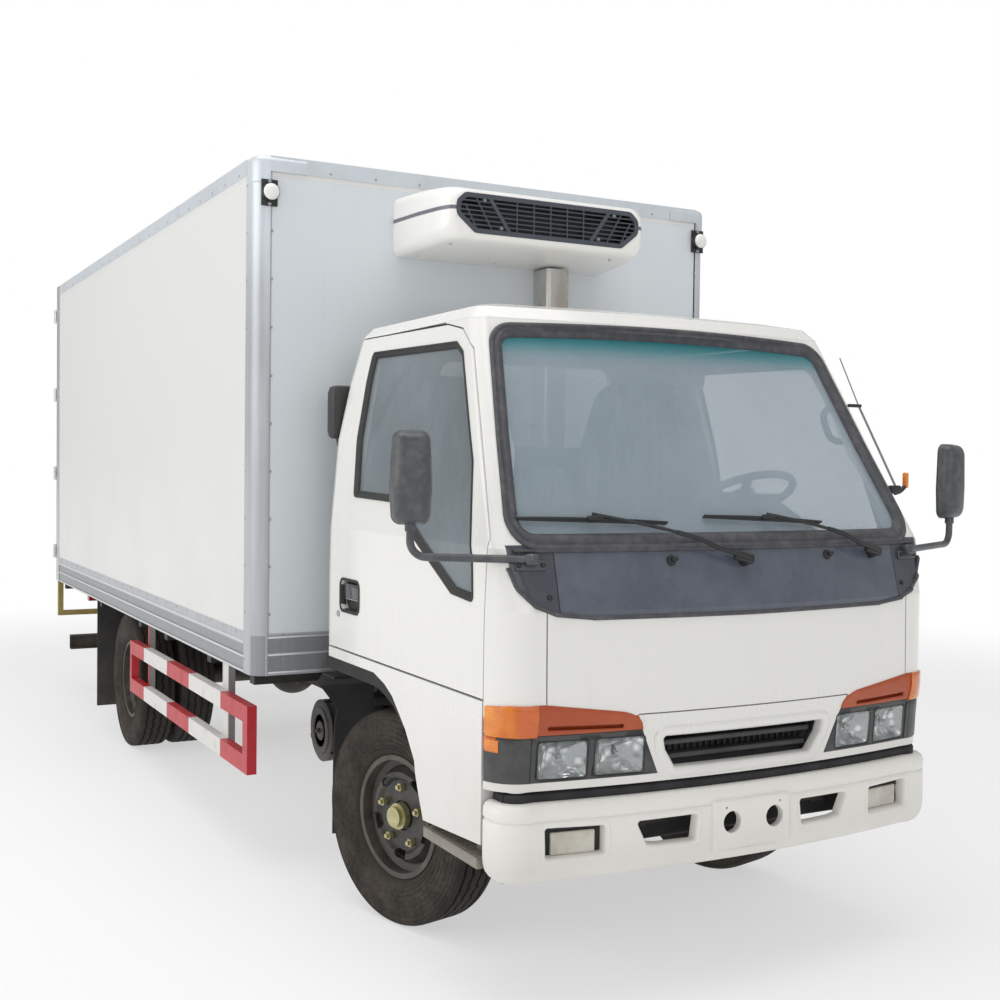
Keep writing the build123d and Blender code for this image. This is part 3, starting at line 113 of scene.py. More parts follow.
class Finish:
    """One material, made by adding shader nodes and closing with surface()."""

    def __init__(self, name):
        self.material = bpy.data.materials.new(name)
        self.material.use_nodes = True
        self.nodes = self.material.node_tree.nodes
        self.links = self.material.node_tree.links
        self.nodes.clear()
        self.place = self.node("TexCoord", {}, {}, "Object")

    def node(self, kind, settings, sockets, out=0):
        made = self.nodes.new("ShaderNode" + kind)
        for key, value in settings.items():
            if key == "stops":
                for index, (position, tint) in enumerate(value):
                    stops = made.color_ramp.elements
                    stop = stops[index] if index < len(stops) else stops.new(position)
                    stop.position, stop.color = position, tint
            else:
                setattr(made, key, value)
        for key, value in sockets.items():
            if isinstance(value, Signal):
                self.links.new(value.socket, made.inputs[key])
            else:
                made.inputs[key].default_value = colour(value) if isinstance(value, str) else value
        return Signal(self, made.outputs[out]) if made.outputs else None

    def axes(self, place=None):
        """The x, y and z of a place, as three signals."""
        split = self.node("SeparateXYZ", {}, {0: place or self.place})
        node_outputs = split.socket.node.outputs
        return [Signal(self, socket) for socket in node_outputs]

    def moved(self, shift=(0, 0, 0), turn=(0, 0, 0), scale=(1, 1, 1), kind="POINT", place=None):
        return self.node("Mapping", {"vector_type": kind},
                         {"Vector": place or self.place, "Location": shift, "Rotation": turn, "Scale": scale})

    def noise(self, scale, detail=3.0, stretch=(1, 1, 1), rough=0.55, place=None):
        return self.node("TexNoise", {}, {"Vector": self.moved(scale=stretch, place=place), "Scale": scale,
                                          "Detail": detail, "Roughness": rough})

    def cells(self, scale, feature="F1", out=0, place=None):
        return self.node("TexVoronoi", {"feature": feature}, {"Vector": place or self.place, "Scale": scale},
                         out)

    def mix(self, mask, under, top):
        """Colour under where the mask is 0 and colour top where it is 1, each a signal or a code."""
        return self.node("Mix", {"data_type": "RGBA"}, {0: mask, 6: under, 7: top}, 2)

    def bump(self, height, depth, onto=None):
        sockets = {"Height": height, "Strength": 1.0, "Distance": depth}
        if onto is not None:
            sockets["Normal"] = onto
        return self.node("Bump", {}, sockets)

    def surface(self, base, rough, normal=None, alpha=None, **fixed):
        """Close with a Principled shader; fixed holds its other sockets by name."""
        sockets = {"Base Color": base, "Roughness": rough}
        if normal is not None:
            sockets["Normal"] = normal
        if alpha is not None:
            sockets["Alpha"] = alpha
        for key, value in fixed.items():
            sockets[key.replace("_", " ")] = value
        shader = self.node("BsdfPrincipled", {}, sockets)
        self.node("OutputMaterial", {}, {"Surface": shader})
        return self.material


def coat(names, material):
    """Give CAD nodes their finish."""
    for name in names:
        for place in node[name].material_slots:
            place.material = material


def dusty(finish, base, dust, low, high, amount=0.6):
    """Dust that thickens from the height high down to low, in patches; returns colour and mask."""
    x, y, z = finish.axes()
    patches = finish.noise(7.0, 5.0).rise(0.35, 0.72) * 0.7 + finish.noise(45.0, 4.0) * 0.3
    mask = z.rise(high, low) * amount * (patches + 0.25) + patches * 0.18
    return finish.mix(mask, base, dust), mask


road = Finish("chassis_black_paint")
tint, mask = dusty(road, "#1b1b1d", "#6b6358", 0.2, 0.75, 0.5)
grain = road.noise(160.0, 3.0)
road_black = road.surface(tint, mask * 0.35 + 0.5, road.bump(grain, 0.0006), Specular_IOR_Level=0.4)
coat(["frame_rails", "cross_members", "axles", "leaf_springs", "propeller_shaft", "box_bearers",
      "underrun_bar", "knuckle_left", "knuckle_right"], road_black)

iron = Finish("engine_cast_iron")
tint, mask = dusty(iron, "#4a4c4e", "#6b6358", 0.3, 0.9, 0.5)
coat(["engine"], iron.surface(tint, 0.6, iron.bump(iron.noise(90.0, 5.0), 0.002), Metallic=0.3))

silencer = Finish("exhaust_steel_heated")
tint, mask = dusty(silencer, "#6c655e", "#7b6b57", 0.3, 0.6, 0.5)
coat(["exhaust"], silencer.surface(tint, 0.55, silencer.bump(silencer.noise(70.0), 0.0005), Metallic=0.5))

# ---------------------------------------------------------------- tyres
# Cross-ply ribbed truck tyres, 7.00-16: four zigzag ribs on the tread, fine rings moulded on the
# side walls, and brown road dust over everything. The fronts stand turned left by 14 degrees.
SIDES = (("left", 1), ("right", -1))
WHEEL_Z = 0.378
AXLE_X, REAR_X = 2.0515, -1.2045
KINGPIN_Y, STEERED = 0.620, math.radians(14.4)
WHEEL_OUT = 0.0725
TWIN_Y, TWIN_HALF = 0.785, 0.110


def select_only(obj):
    bpy.ops.object.select_all(action="DESELECT")
    obj.select_set(True)
    bpy.context.view_layer.objects.active = obj


def edit(obj, action):
    """Run an edit-mode step on all of a mesh."""
    select_only(obj)
    bpy.ops.object.mode_set(mode="EDIT")
    bpy.ops.mesh.select_all(action="SELECT")
    action()
    bpy.ops.object.mode_set(mode="OBJECT")


def placed(name, data):
    """A new object of the scene that shows a mesh or a curve."""
    obj = bpy.data.objects.new(name, data)
    bpy.context.scene.collection.objects.link(obj)
    return obj


def spun(name, profile, steps):
    """Turn a profile of (radius, y) points round the Y axis through the origin."""
    mesh = bpy.data.meshes.new(name)
    mesh.from_pydata([(r, y, 0) for r, y in profile], [(i, i + 1) for i in range(len(profile) - 1)], [])
    obj = placed(name, mesh)

    def turn():
        bpy.ops.mesh.spin(steps=steps, angle=2 * math.pi, center=(0, 0, 0), axis=(0, 1, 0))
        bpy.ops.mesh.select_all(action="SELECT")
        bpy.ops.mesh.remove_doubles(threshold=0.00002)
        bpy.ops.mesh.normals_make_consistent(inside=False)

    edit(obj, turn)
    return obj


def smooth(obj, angle=35):
    select_only(obj)
    bpy.ops.object.shade_smooth_by_angle(angle=math.radians(angle))
    return obj


def dress(obj, body, material, replaced=()):
    """Give a finished piece its material, its body and the CAD nodes it stands for."""
    obj.data.materials.clear()
    obj.data.materials.append(material)
    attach(obj, body)
    if replaced:
        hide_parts(*replaced)
    return obj


def put(obj, matrix):
    """Move a piece made at the origin to its place; turned right way out if the matrix mirrors."""
    obj.data.transform(matrix)
    if matrix.determinant() < 0:
        edit(obj, bpy.ops.mesh.flip_normals)
    return obj


def copied(obj, name, matrix):
    """A copy with its own mesh, moved by a matrix."""
    return put(placed(name, obj.data.copy()), matrix)


def at(x, y, z):
    """The matrix that moves a piece from the origin to a point."""
    return Matrix.Translation((x, y, z))


ACROSS = Matrix.Scale(-1, 4, (0, 1, 0))
FRONT_SPOT = {
    "left": at(AXLE_X, KINGPIN_Y, WHEEL_Z) @ Matrix.Rotation(STEERED, 4, "Z") @ at(0, WHEEL_OUT, 0),
    "right": at(AXLE_X, -KINGPIN_Y, WHEEL_Z) @ Matrix.Rotation(STEERED, 4, "Z") @ at(0, -WHEEL_OUT, 0)
    @ ACROSS,
}

# the wall's outline from the bead out to the tread's middle; rings stand up 1.2 mm
wall = [(0.2045, 0.058), (0.2045, 0.0640), (0.2195, 0.0645), (0.226, 0.0735)]
bulge = [(0.236, 0.0835), (0.250, 0.0915), (0.266, 0.0968), (0.284, 0.0993), (0.302, 0.0990), (0.320, 0.0962),
         (0.338, 0.0925)]
for r, y in bulge:
    wall += [(r, y), (r + 0.0035, y + 0.0006 if y < 0.0990 else y + 0.0003), (r + 0.0042, y - 0.0012)]
wall += [(0.350, 0.0905), (0.3555, 0.0915), (0.3575, 0.0885), (0.362, 0.0885), (0.3645, 0.0900),
         (0.3700, 0.0860), (0.3745, 0.0790), (0.3772, 0.0700)]
GROOVES = (0.0560, 0.0190)
tread = []
for centre in GROOVES:
    tread += [(0.3778, centre + 0.0065), (0.3668, centre + 0.0035), (0.3668, centre - 0.0035),
              (0.3780, centre - 0.0065)]
half_profile = wall + tread
profile = half_profile + [(r, -y) for r, y in reversed(half_profile)]
tyre = spun("tyre_pattern", profile, 120)
# zigzag the grooves by swinging every third column of their points sideways
for vertex in tyre.data.vertices:
    x, y, z = vertex.co
    r = math.hypot(x, z)
    if r > 0.3660 and abs(y) < 0.066:
        turn = math.atan2(z, x)
        vertex.co.y += 0.0032 * math.copysign(1, math.sin(turn * 40 + 0.01)) * (1 - 0.4 * (abs(y) > 0.045))
smooth(tyre, 40)


def tyre_finish(name, spots):
    """Dusty rubber; spots are the wheel centres whose radius carries the moulded rings."""
    finish = Finish(name)
    centre, turn = spots
    local = finish.moved(centre, turn, kind="TEXTURE")
    x, y, z = finish.axes(local)
    radius = (x * x + z * z).maths("SQRT")
    patches = finish.noise(9.0, 5.0) * 0.6 + finish.noise(60.0, 4.0) * 0.4
    rings = (radius * 900.0).maths("SINE") * radius.rise(0.235, 0.245) * radius.rise(0.352, 0.345)
    worn = radius.rise(0.355, 0.376)
    dust = (patches.rise(0.3, 0.7) * 0.45 + 0.10) * (1 - worn * 0.55)
    tint = finish.mix(dust, "#222120", "#625a51")
    tint = finish.mix(radius.rise(0.245, 0.222) * 0.75, tint, "#3a3632")
    normal = finish.bump(rings * 0.5 + finish.noise(140.0, 4.0) * 0.6, 0.0009)
    return finish.surface(tint, 0.9 - worn * 0.08, normal, Specular_IOR_Level=0.25)


for side, sign in SIDES:
    centre = FRONT_SPOT[side].translation
    piece = copied(tyre, f"tyre_front_{side}", FRONT_SPOT[side])
    material = tyre_finish(f"tyre_rubber_front_{side}", (tuple(centre), (0, 0, STEERED)))
    dress(piece, f"front_wheel_{side}", material, [f"front_tyre_{side}"])
    for place in (-1, 1):
        spot = at(REAR_X, sign * TWIN_Y + place * TWIN_HALF, WHEEL_Z)
        piece = copied(tyre, f"tyre_rear_{side}_{'outer' if place * sign > 0 else 'inner'}", spot)
        material = tyre_finish(f"tyre_rubber_rear_{side}_{place + 1}", (tuple(spot.translation), (0, 0, 0)))
        dress(piece, f"rear_wheels_{side}", material,
              [f"rear_tyres_{side}"] if place == 1 else ())
bpy.data.objects.remove(tyre)

# ---------------------------------------------------------------- wheel discs and nuts
# Pressed steel discs, sprayed gloss black and dusted tan. Five nuts and the hub cap on each are
# yellow zinc plate, so they stay bright against the disc.
for side, sign in SIDES:
    for axle, name in (("front", f"front_rim_{side}"), ("rear", f"rear_rim_{side}")):
        steel = Finish(f"wheel_steel_{axle}_{side}")
        if axle == "front":
            spot, turn, nut_face = tuple(FRONT_SPOT[side].translation), (0, 0, STEERED), 0.043
        else:
            spot, turn, nut_face = (REAR_X, sign * TWIN_Y, WHEEL_Z), (0, 0, 0), 0.0055
        x, y, z = steel.axes(steel.moved(spot, turn, kind="TEXTURE"))
        radius = (x * x + z * z).maths("SQRT")
        out = (y * sign).rise(nut_face, nut_face + 0.002)
        cap = radius.rise(0.052, 0.050)
        nuts = radius.line(0.1025, 0.019) * out
        plated = (nuts + cap * out).maths("MINIMUM", 1.0)
        patches = steel.noise(14.0, 5.0).rise(0.3, 0.7)
        dust = patches * 0.42 + radius.rise(0.12, 0.19) * 0.28
        tint = steel.mix(dust, "#202022", "#6b645b")
        gold = steel.mix(steel.noise(50.0, 3.0), "#9a9468", "#d6d0a6")
        tint = steel.mix(plated, tint, gold)
        coat([name], steel.surface(tint, dust * 0.5 + 0.28, steel.bump(steel.noise(120.0, 4.0), 0.0004),
                                   Metallic=plated * 0.75))

# ---------------------------------------------------------------- cab shell, doors, roof and nose
# Spot-welded steel panels under warm cream-white gloss paint. A film of road dust lies on the
# lower panels, with thin rain streaks down the upright ones.


def body_paint(name, base, streak, low=0.35, high=1.1, dirt=0.10):
    paint = Finish(name)
    x, y, z = paint.axes()
    streaks = paint.noise(55.0, 3.0, (1, 1, 0.03)).rise(0.50, 0.74)
    cloud = paint.noise(2.2, 4.0).rise(0.25, 0.8)
    film = z.rise(high, low) * dirt * (0.5 + cloud) + streaks * streak * (0.3 + cloud * 0.7)
    tint = paint.mix(film, base, "#a8a196")
    peel = paint.noise(700.0, 2.0)
    return paint, tint, paint.bump(peel, 0.00004), film


paint, tint, skin, film = body_paint("cab_paint_cream", "#e9e8e4", 0.06, high=1.0, dirt=0.26)
x, y, z = paint.axes()
# a fine dark line where the nose panels meet, and along the top of the lamp panel
seam = abs(y).line(0.708, 0.0016) * z.rise(0.93, 0.935) * z.rise(1.205, 1.2) * x.rise(2.9, 2.95)
seam = seam + z.line(0.888, 0.0018) * abs(y).rise(0.415, 0.41) * x.rise(2.9, 2.95)
tint = paint.mix(seam.maths("MINIMUM", 1.0), tint, "#5b564c")
across = abs(y)
wall = 0.826 - z.rise(1.383, 2.10) * 0.115
behind = AXLE_X + 0.88 - (z - 1.383).maths("MAXIMUM", 0.0) * 0.573 - across * across * 0.13 - x
inside = (wall - across).rise(0.0, 0.004) * x.rise(AXLE_X - 0.404, AXLE_X - 0.402) * behind.rise(0.0, 0.006)
inside = inside * z.rise(2.102, 2.098) * z.rise(0.93, 0.935)
trim_grey = paint.mix(z.rise(1.9, 2.1), "#7d858a", "#a5abad")
tint = paint.mix(inside, tint, trim_grey)
cab_paint = paint.surface(tint, film * 1.2 + 0.24, paint.bump(1 - seam, 0.002, skin), Coat_Weight=0.5,
                          Coat_Roughness=0.08)
coat(["cab_back", "cab_roof", "windshield_frame", "front_panel", "door_left", "door_right", "cab_floor"],
     cab_paint)

paint, tint, skin, film = body_paint("bumper_paint_cream", "#e9e7e1", 0.03, 0.38, 0.60, 0.22)
bumper_paint = paint.surface(tint, film * 0.8 + 0.34, skin, Coat_Weight=0.2, Coat_Roughness=0.2)

# ---------------------------------------------------------------- glass
# Laminated windshield with a green shade band along its top, and plain tempered door glass. All
# of it is a little dusty, so it takes a pale haze.


def glass(name, tint, haze, band=None):
    pane = Finish(name)
    x, y, z = pane.axes()
    dust = pane.noise(1.6, 3.0).rise(0.25, 0.85)
    cover = dust * haze * 0.25 + haze
    base = pane.mix(dust * 0.4, tint, "#c3ced6")
    if band:
        shade = z.rise(band[0], band[1])
        base = pane.mix(shade, base, band[2])
        cover = cover + shade * (band[3] - haze)
    return pane.surface(base, 0.03, alpha=cover, Specular_IOR_Level=0.5)


coat(["windshield"], glass("screen_glass", "#b0c0cb", 0.38, (1.95, 2.035, "#3d8f98", 0.66)))
coat(["door_glass_left", "door_glass_right"], glass("door_glass", "#8f9aa0", 0.36))
coat(["rear_window"], glass("rear_glass", "#9aa5a6", 0.12))

# ---------------------------------------------------------------- insulated box
# Glass-fibre skins on foam. The front wall is a cooler, greyer white than the sides, and both are
# faintly rippled and streaked. Mill-finish aluminium extrusions close the edges.
paint, tint, skin, film = body_paint("front_wall_grp", "#d9dfe3", 0.05, 0.7, 1.1, 0.05)
coat(["box_front_wall"], paint.surface(tint, 0.34, paint.bump(paint.noise(1.6, 2.0), 0.004, skin)))
paint, tint, skin, film = body_paint("side_wall_grp", "#e2e2e0", 0.05, 0.8, 2.2, 0.12)
side_wall = paint.surface(tint, 0.36, paint.bump(paint.noise(1.3, 2.0), 0.006, skin))
coat(["box_side_walls", "box_roof", "box_floor"], side_wall)
paint, tint, skin, film = body_paint("rear_door_grp", "#dcdcdb", 0.06, 0.8, 1.3, 0.07)
hardware = paint.axes()[0].rise(-3.0677, -3.0682)
tint = paint.mix(hardware, tint, "#c3c4c3")
coat(["rear_door_left", "rear_door_right"],
     paint.surface(tint, 0.34 - hardware * 0.06, skin, Metallic=hardware * 0.8))

BOX_FRONT, BOX_HALF = 1.4045, 1.0725
alloy = Finish("mill_aluminium")
brushed = alloy.noise(30.0, 3.0, (1, 1, 0.06))
x, y, z = alloy.axes()
# painted highlight: the extrusions turn paler and bluer toward the top, as the roof trim lit by the sky
tint = alloy.mix(z.rise(2.0, 2.75), "#aeb0b4", "#d3dae0")
tint = alloy.mix(brushed.rise(0.2, 0.8) * 0.25, tint, "#e3e8ec")
tint = alloy.mix(alloy.noise(5.0, 4.0).rise(0.45, 0.8) * 0.2, tint, "#9a9c9f")
# painted shade: the recessed faces along the lower rail are darkened, as shade in its grooves
flank = abs(y).rise(BOX_HALF - 0.0012, BOX_HALF - 0.003) * x.rise(1.28, 1.27)
nose = x.rise(BOX_FRONT - 0.0004, BOX_FRONT - 0.0008) * x.rise(1.36, 1.37)
groove_shade = (flank + nose).maths("MINIMUM", 1.0) * z.rise(0.95, 0.945)
tint = alloy.mix(groove_shade * 0.55, tint, "#6f7276")
aluminium = alloy.surface(tint, brushed * 0.08 + 0.36, alloy.bump(alloy.noise(220.0, 2.0), 0.0002),
                          Metallic=0.35)
coat(["box_edge_profiles"], aluminium)

frame_steel = Finish("stainless_rear_frame")
brushed = frame_steel.noise(60.0, 3.0, (1, 0.05, 1))
tint = frame_steel.mix(brushed, "#b5b6b6", "#d6d6d4")
stainless = frame_steel.surface(tint, brushed * 0.2 + 0.25, Metallic=0.85)
coat(["box_rear_frame"], stainless)

duct = Finish("duct_stainless")
patches = duct.noise(9.0, 4.0, (1, 1, 0.4)).rise(0.3, 0.75)
tint = duct.mix(patches, "#b9b4ab", "#d3d4d2")
dents = duct.bump(duct.noise(12.0, 2.0), 0.002)
coat(["pipe_duct"], duct.surface(tint, patches * 0.25 + 0.22, dents, Metallic=0.8))

# ---------------------------------------------------------------- guards, flaps and small chassis parts
# Square tube side guards painted in red and white bands, rubber flaps, a black steel tank and air
# cleaner, and yellow zinc on the rear step.
band_paint = Finish("guard_bands")
x, y, z = band_paint.axes()
ahead_of = x * -1.0 + 2.0695
white = ahead_of.rise(1.178, 1.180) * ahead_of.rise(1.694, 1.692)
white = white + ahead_of.rise(2.099, 2.101) * ahead_of.rise(2.588, 2.586)
tube = abs(y).rise(1.008, 1.0095)
red = band_paint.mix(band_paint.noise(6.0, 4.0) * 0.5, "#b3202c", "#c9303a")
tint = band_paint.mix(white, red, "#dad9d5")
tint = band_paint.mix(tube, "#8b8c8c", tint)
dust = band_paint.noise(12.0, 4.0).rise(0.45, 0.8) * 0.22
tint = band_paint.mix(dust, tint, "#8a7d6c")
coat(["side_guards"], band_paint.surface(tint, dust + 0.38, band_paint.bump(band_paint.noise(90.0), 0.0003)))

flap = Finish("flap_rubber")
tint, mask = dusty(flap, "#222223", "#625b52", 0.05, 0.6, 0.35)
flap_black = flap.surface(tint, 0.75, flap.bump(flap.noise(80.0, 3.0), 0.0012))

drum = Finish("cleaner_black")
tint, mask = dusty(drum, "#2a2b2d", "#6a6257", 0.3, 0.7, 0.5)
cleaner_black = drum.surface(tint, mask * 0.3 + 0.42, drum.bump(drum.noise(60.0), 0.0006))
coat(["air_cleaner", "fuel_tank"], cleaner_black)

plated = Finish("yellow_zinc")
tint = plated.mix(plated.noise(18.0, 4.0), "#a08948", "#c4b27c")
coat(["rear_step"], plated.surface(tint, 0.38, Metallic=0.7))

treadplate = Finish("step_aluminium")
x, y, z = treadplate.axes()
teeth = (x * 420.0).maths("SINE") * (y * 260.0).maths("SINE")
tint = treadplate.mix(treadplate.noise(25.0, 4.0), "#7b766d", "#a8a298")
grip = treadplate.bump(teeth * z.rise(0.463, 0.4655), 0.003)
coat(["cab_steps"], treadplate.surface(tint, 0.5, grip, Metallic=0.6))

# ---------------------------------------------------------------- grille, tail lamps, dashboard and wheel
# Dark grained plastic in the nose opening, red ribbed bodies on the tail lamps, and soft grey
# grained mouldings inside the cab.
plastic = Finish("exterior_plastic_dark")
tint, mask = dusty(plastic, "#2f3236", "#77716a", 0.5, 1.3, 0.12)
coat(["grille"], plastic.surface(tint, 0.5, plastic.bump(plastic.noise(420.0, 2.0), 0.0002)))
redlens = Finish("tail_lens")
tint = redlens.mix(redlens.cells(220.0), "#7d1210", "#a81b18")
coat(["rear_lamps"], redlens.surface(tint, 0.15))

trim = Finish("cab_inside_grey")
tint = trim.mix(trim.noise(6.0, 3.0), "#6f767b", "#848b90")
coat(["dashboard", "steering_wheel"], trim.surface(tint, 0.6, trim.bump(trim.cells(900.0), 0.0003)))

# ---------------------------------------------------------------- windshield and door rubbers
# Thick moulded rubber channels hold the glass. The windshield's has an outer bead on the steel, a
# filler strip in its middle and a lip on the glass; the door's is a plain channel.
CAB_HALF = 0.850
FRONT_SKIN = ("windshield_frame", "windshield", "front_panel", "cowl_panel", "headlamps", "cab_roof")
SIDE_SKIN = ("door_right", "door_glass_right", "door_left", "door_glass_left")


def skin_of(names):
    """The CAD nodes as one surface that can be felt for with a ray."""
    corners, faces = [], []
    for name in names:
        first = len(corners)
        corners += [v.co.copy() for v in node[name].data.vertices]
        faces += [[first + i for i in face.vertices] for face in node[name].data.polygons]
    return BVHTree.FromPolygons(corners, faces)


front_skin, side_skin = skin_of(FRONT_SKIN), skin_of(SIDE_SKIN)
WELL_AHEAD, WELL_BESIDE = 3.6, 1.6


def felt(surface, start, way):
    """Where a ray meets a surface, and the direction there. One that slips through a seam is moved."""
    for nudge in (0, 0.003, -0.003, 0.008, -0.008):
        spot, normal, _, _ = surface.ray_cast(start + Vector((0, 0, nudge)), way)
        if spot:
            break
    spot.z = start.z
    return spot, -normal if normal.dot(way) > 0 else normal


def on_front(y, z, lift=0.0):
    """The point of the cab's front at that y and z, and the surface's direction there."""
    spot, normal = felt(front_skin, Vector((WELL_AHEAD, y, z)), Vector((-1, 0, 0)))
    return spot + normal * lift, normal


def on_side(sign, x, z, lift=0.0):
    """The point of the door at that x and z, and the surface's direction there."""
    spot, normal = felt(side_skin, Vector((x, sign * WELL_BESIDE, z)), Vector((0, -sign, 0)))
    return spot + normal * lift, normal


def rounded(corners, radius, steps=6):
    """A closed outline of 2-D corners with each corner turned into an arc."""
    points = []
    for index, corner in enumerate(corners):
        here = Vector(corner)
        to_last = (Vector(corners[index - 1]) - here).normalized()
        to_next = (Vector(corners[(index + 1) % len(corners)]) - here).normalized()
        half = to_last.angle(to_next) / 2
        centre = here + (to_last + to_next).normalized() * (radius / math.sin(half))
        start = here + to_last * (radius / math.tan(half)) - centre
        end = here + to_next * (radius / math.tan(half)) - centre
        first = math.atan2(start.y, start.x)
        swing = math.remainder(math.atan2(end.y, end.x) - first, 2 * math.pi)
        for step in range(steps + 1):
            angle = first + swing * step / steps
            points.append((centre.x + radius * math.cos(angle), centre.y + radius * math.sin(angle)))
    return points


def dense(points, gap, closed=True):
    """The same outline with points no further apart than gap."""
    result = []
    count = len(points)
    for index in range(count if closed else count - 1):
        a, b = Vector(points[index]), Vector(points[(index + 1) % count])
        pieces = max(1, math.ceil((b - a).length / gap))
        result += [tuple(a.lerp(b, step / pieces)) for step in range(pieces)]
    return result if closed else result + [tuple(points[-1])]


def outward(points, index, closed=True):
    """The 2-D direction that points out of a counter-clockwise outline at one of its points."""
    count = len(points)
    last = points[index - 1] if closed or index > 0 else points[index]
    after = points[(index + 1) % count] if closed or index < count - 1 else points[index]
    along = (Vector(after) - Vector(last)).normalized()
    return Vector((along.y, -along.x))


def turned_left(points):
    """The outline in counter-clockwise order."""
    area = sum(a[0] * b[1] - b[0] * a[1] for a, b in zip(points, points[1:] + points[:1]))
    return points if area > 0 else list(reversed(points))


def woven(name, rows, closed=True, capped=False):
    """A skin over rows of points; closed joins each row's ends, capped closes first and last row."""
    width, faces = len(rows[0]), []
    for r in range(len(rows) - 1):
        for c in range(width if closed else width - 1):
            n = (c + 1) % width
            faces.append((r * width + c, r * width + n, (r + 1) * width + n, (r + 1) * width + c))
    if capped:
        faces.append(tuple(range(width)))
        faces.append(tuple(range((len(rows) - 1) * width, len(rows) * width)))
    mesh = bpy.data.meshes.new(name)
    mesh.from_pydata([tuple(p) for row in rows for p in row], [], faces)
    obj = placed(name, mesh)
    edit(obj, lambda: bpy.ops.mesh.normals_make_consistent(inside=False))
    return obj


def ring(name, outline, section, feel):
    """A bead whose closed section, as (outwards, lift) pairs, is laid round an outline on a surface."""
    outline = turned_left(outline)
    rows = []
    for out, lift in section + section[:1]:
        row = []
        for index, point in enumerate(outline):
            place = Vector(point) + outward(outline, index) * out
            row.append(feel(place.x, place.y, lift)[0])
        rows.append(row)
    obj = woven(name, rows)
    edit(obj, lambda: (bpy.ops.mesh.remove_doubles(threshold=0.00001),
                       bpy.ops.mesh.normals_make_consistent(inside=False)))
    return smooth(obj, 60)


seal_rubber = Finish("glazing_rubber")
dust = seal_rubber.noise(30.0, 4.0).rise(0.35, 0.8)
tint = seal_rubber.mix(dust * 0.5, "#45464c", "#6d6a6a")
rubber_grey = seal_rubber.surface(tint, 0.62, seal_rubber.bump(seal_rubber.noise(300.0, 3.0), 0.0005))

SCREEN = [(-0.783, 1.398), (0.783, 1.398), (0.661, 2.056), (0.0, 2.070), (-0.661, 2.056)]
screen_edge = rounded([SCREEN[0], SCREEN[1], SCREEN[2], SCREEN[4]], 0.065, 8)
screen_edge = [(y, z + 0.012 * (1 - (y / 0.62) ** 2) if z > 2.05 else z) for y, z in dense(screen_edge, 0.03)]
SCREEN_SECTION = [(0.024, 0.0), (0.0235, 0.006), (0.019, 0.009), (0.012, 0.0085), (0.009, 0.005),
                  (0.004, 0.005), (0.002, 0.0085), (-0.004, 0.0205), (-0.010, 0.0185), (-0.018, 0.011),
                  (-0.0225, 0.006), (-0.024, 0.0)]
seal = ring("windshield_rubber", screen_edge, SCREEN_SECTION, on_front)
dress(seal, "cab", rubber_grey)

DOOR_WINDOW = [(-0.205, 1.497), (0.145, 1.488), (0.472, 1.312), (0.641, 1.223), (0.794, 1.209),
               (0.784, 1.335), (0.696, 1.640), (0.492, 1.992), (0.430, 2.029), (-0.268, 2.041)]
window_edge = dense(rounded([(AXLE_X + x, z) for x, z in DOOR_WINDOW], 0.022, 5), 0.03)
DOOR_SECTION = [(-0.004, 0.0), (-0.005, 0.004), (-0.0095, 0.004), (-0.0125, 0.0145), (-0.021, 0.0095),
                (-0.0265, 0.006), (-0.0285, 0.0)]
black_rubber = Finish("black_rubber")
tint = black_rubber.mix(black_rubber.noise(30.0, 4.0) * 0.5, "#1d1d1f", "#4a4744")
rubber_black = black_rubber.surface(tint, 0.6)
for side, sign in SIDES:
    edge = ring(f"door_window_rubber_{side}", window_edge, DOOR_SECTION,
                lambda x, z, lift: on_side(sign, x, z, lift))
    dress(edge, f"cab_door_{side}", rubber_black)

# ---------------------------------------------------------------- cowl: edging, nozzles, wipers
# The slate-black cowl panel under the glass has a rubber bead round its lower edge and end caps
# held by screws. Two washer nozzles and two wipers stand on it.
COWL = [(-0.812, 1.386), (-0.806, 1.327), (-0.784, 1.268), (-0.740, 1.222), (-0.678, 1.197), (-0.560, 1.184),
        (0, 1.181), (0.560, 1.184), (0.678, 1.197), (0.740, 1.222), (0.784, 1.268), (0.806, 1.327),
        (0.812, 1.386)]


def hose(name, points, radius, smooth_path=True, sides=3, closed=False):
    """A round bar or tube along points, as a mesh."""
    curve = bpy.data.curves.new(name, "CURVE")
    curve.dimensions = "3D"
    spline = curve.splines.new("NURBS" if smooth_path else "POLY")
    spline.points.add(len(points) - 1)
    for place, point in zip(spline.points, points):
        place.co = (*point, 1.0)
    if smooth_path:
        spline.order_u = 3
        spline.use_endpoint_u = not closed
        spline.resolution_u = 6
    spline.use_cyclic_u = closed
    curve.bevel_depth = radius
    curve.bevel_resolution = sides
    curve.use_fill_caps = True
    obj = placed(name, curve)
    select_only(obj)
    bpy.ops.object.convert(target="MESH")
    return smooth(bpy.context.object, 60)


def eased(points, times=6):
    """The same run of points with its small steps in depth taken out."""
    for _ in range(times):
        depths = [p.x for p in points]
        for k in range(1, len(points) - 1):
            points[k].x = (depths[k - 1] + depths[k] + depths[k + 1]) / 3
    return points


bead = dense(rounded(COWL, 0.030, 4)[5:-5], 0.03, closed=False)
bead = hose("cowl_lower_bead", eased([on_front(y * 1.004, z - 0.004, 0.002)[0] for y, z in bead]), 0.0065)
dress(bead, "cab", rubber_grey)
bead = hose("cowl_upper_bead", eased([on_front(y * 0.79 / 40, 1.3745, 0.004)[0] for y in range(-40, 41, 2)]),
            0.0055)
dress(bead, "cab", rubber_grey)

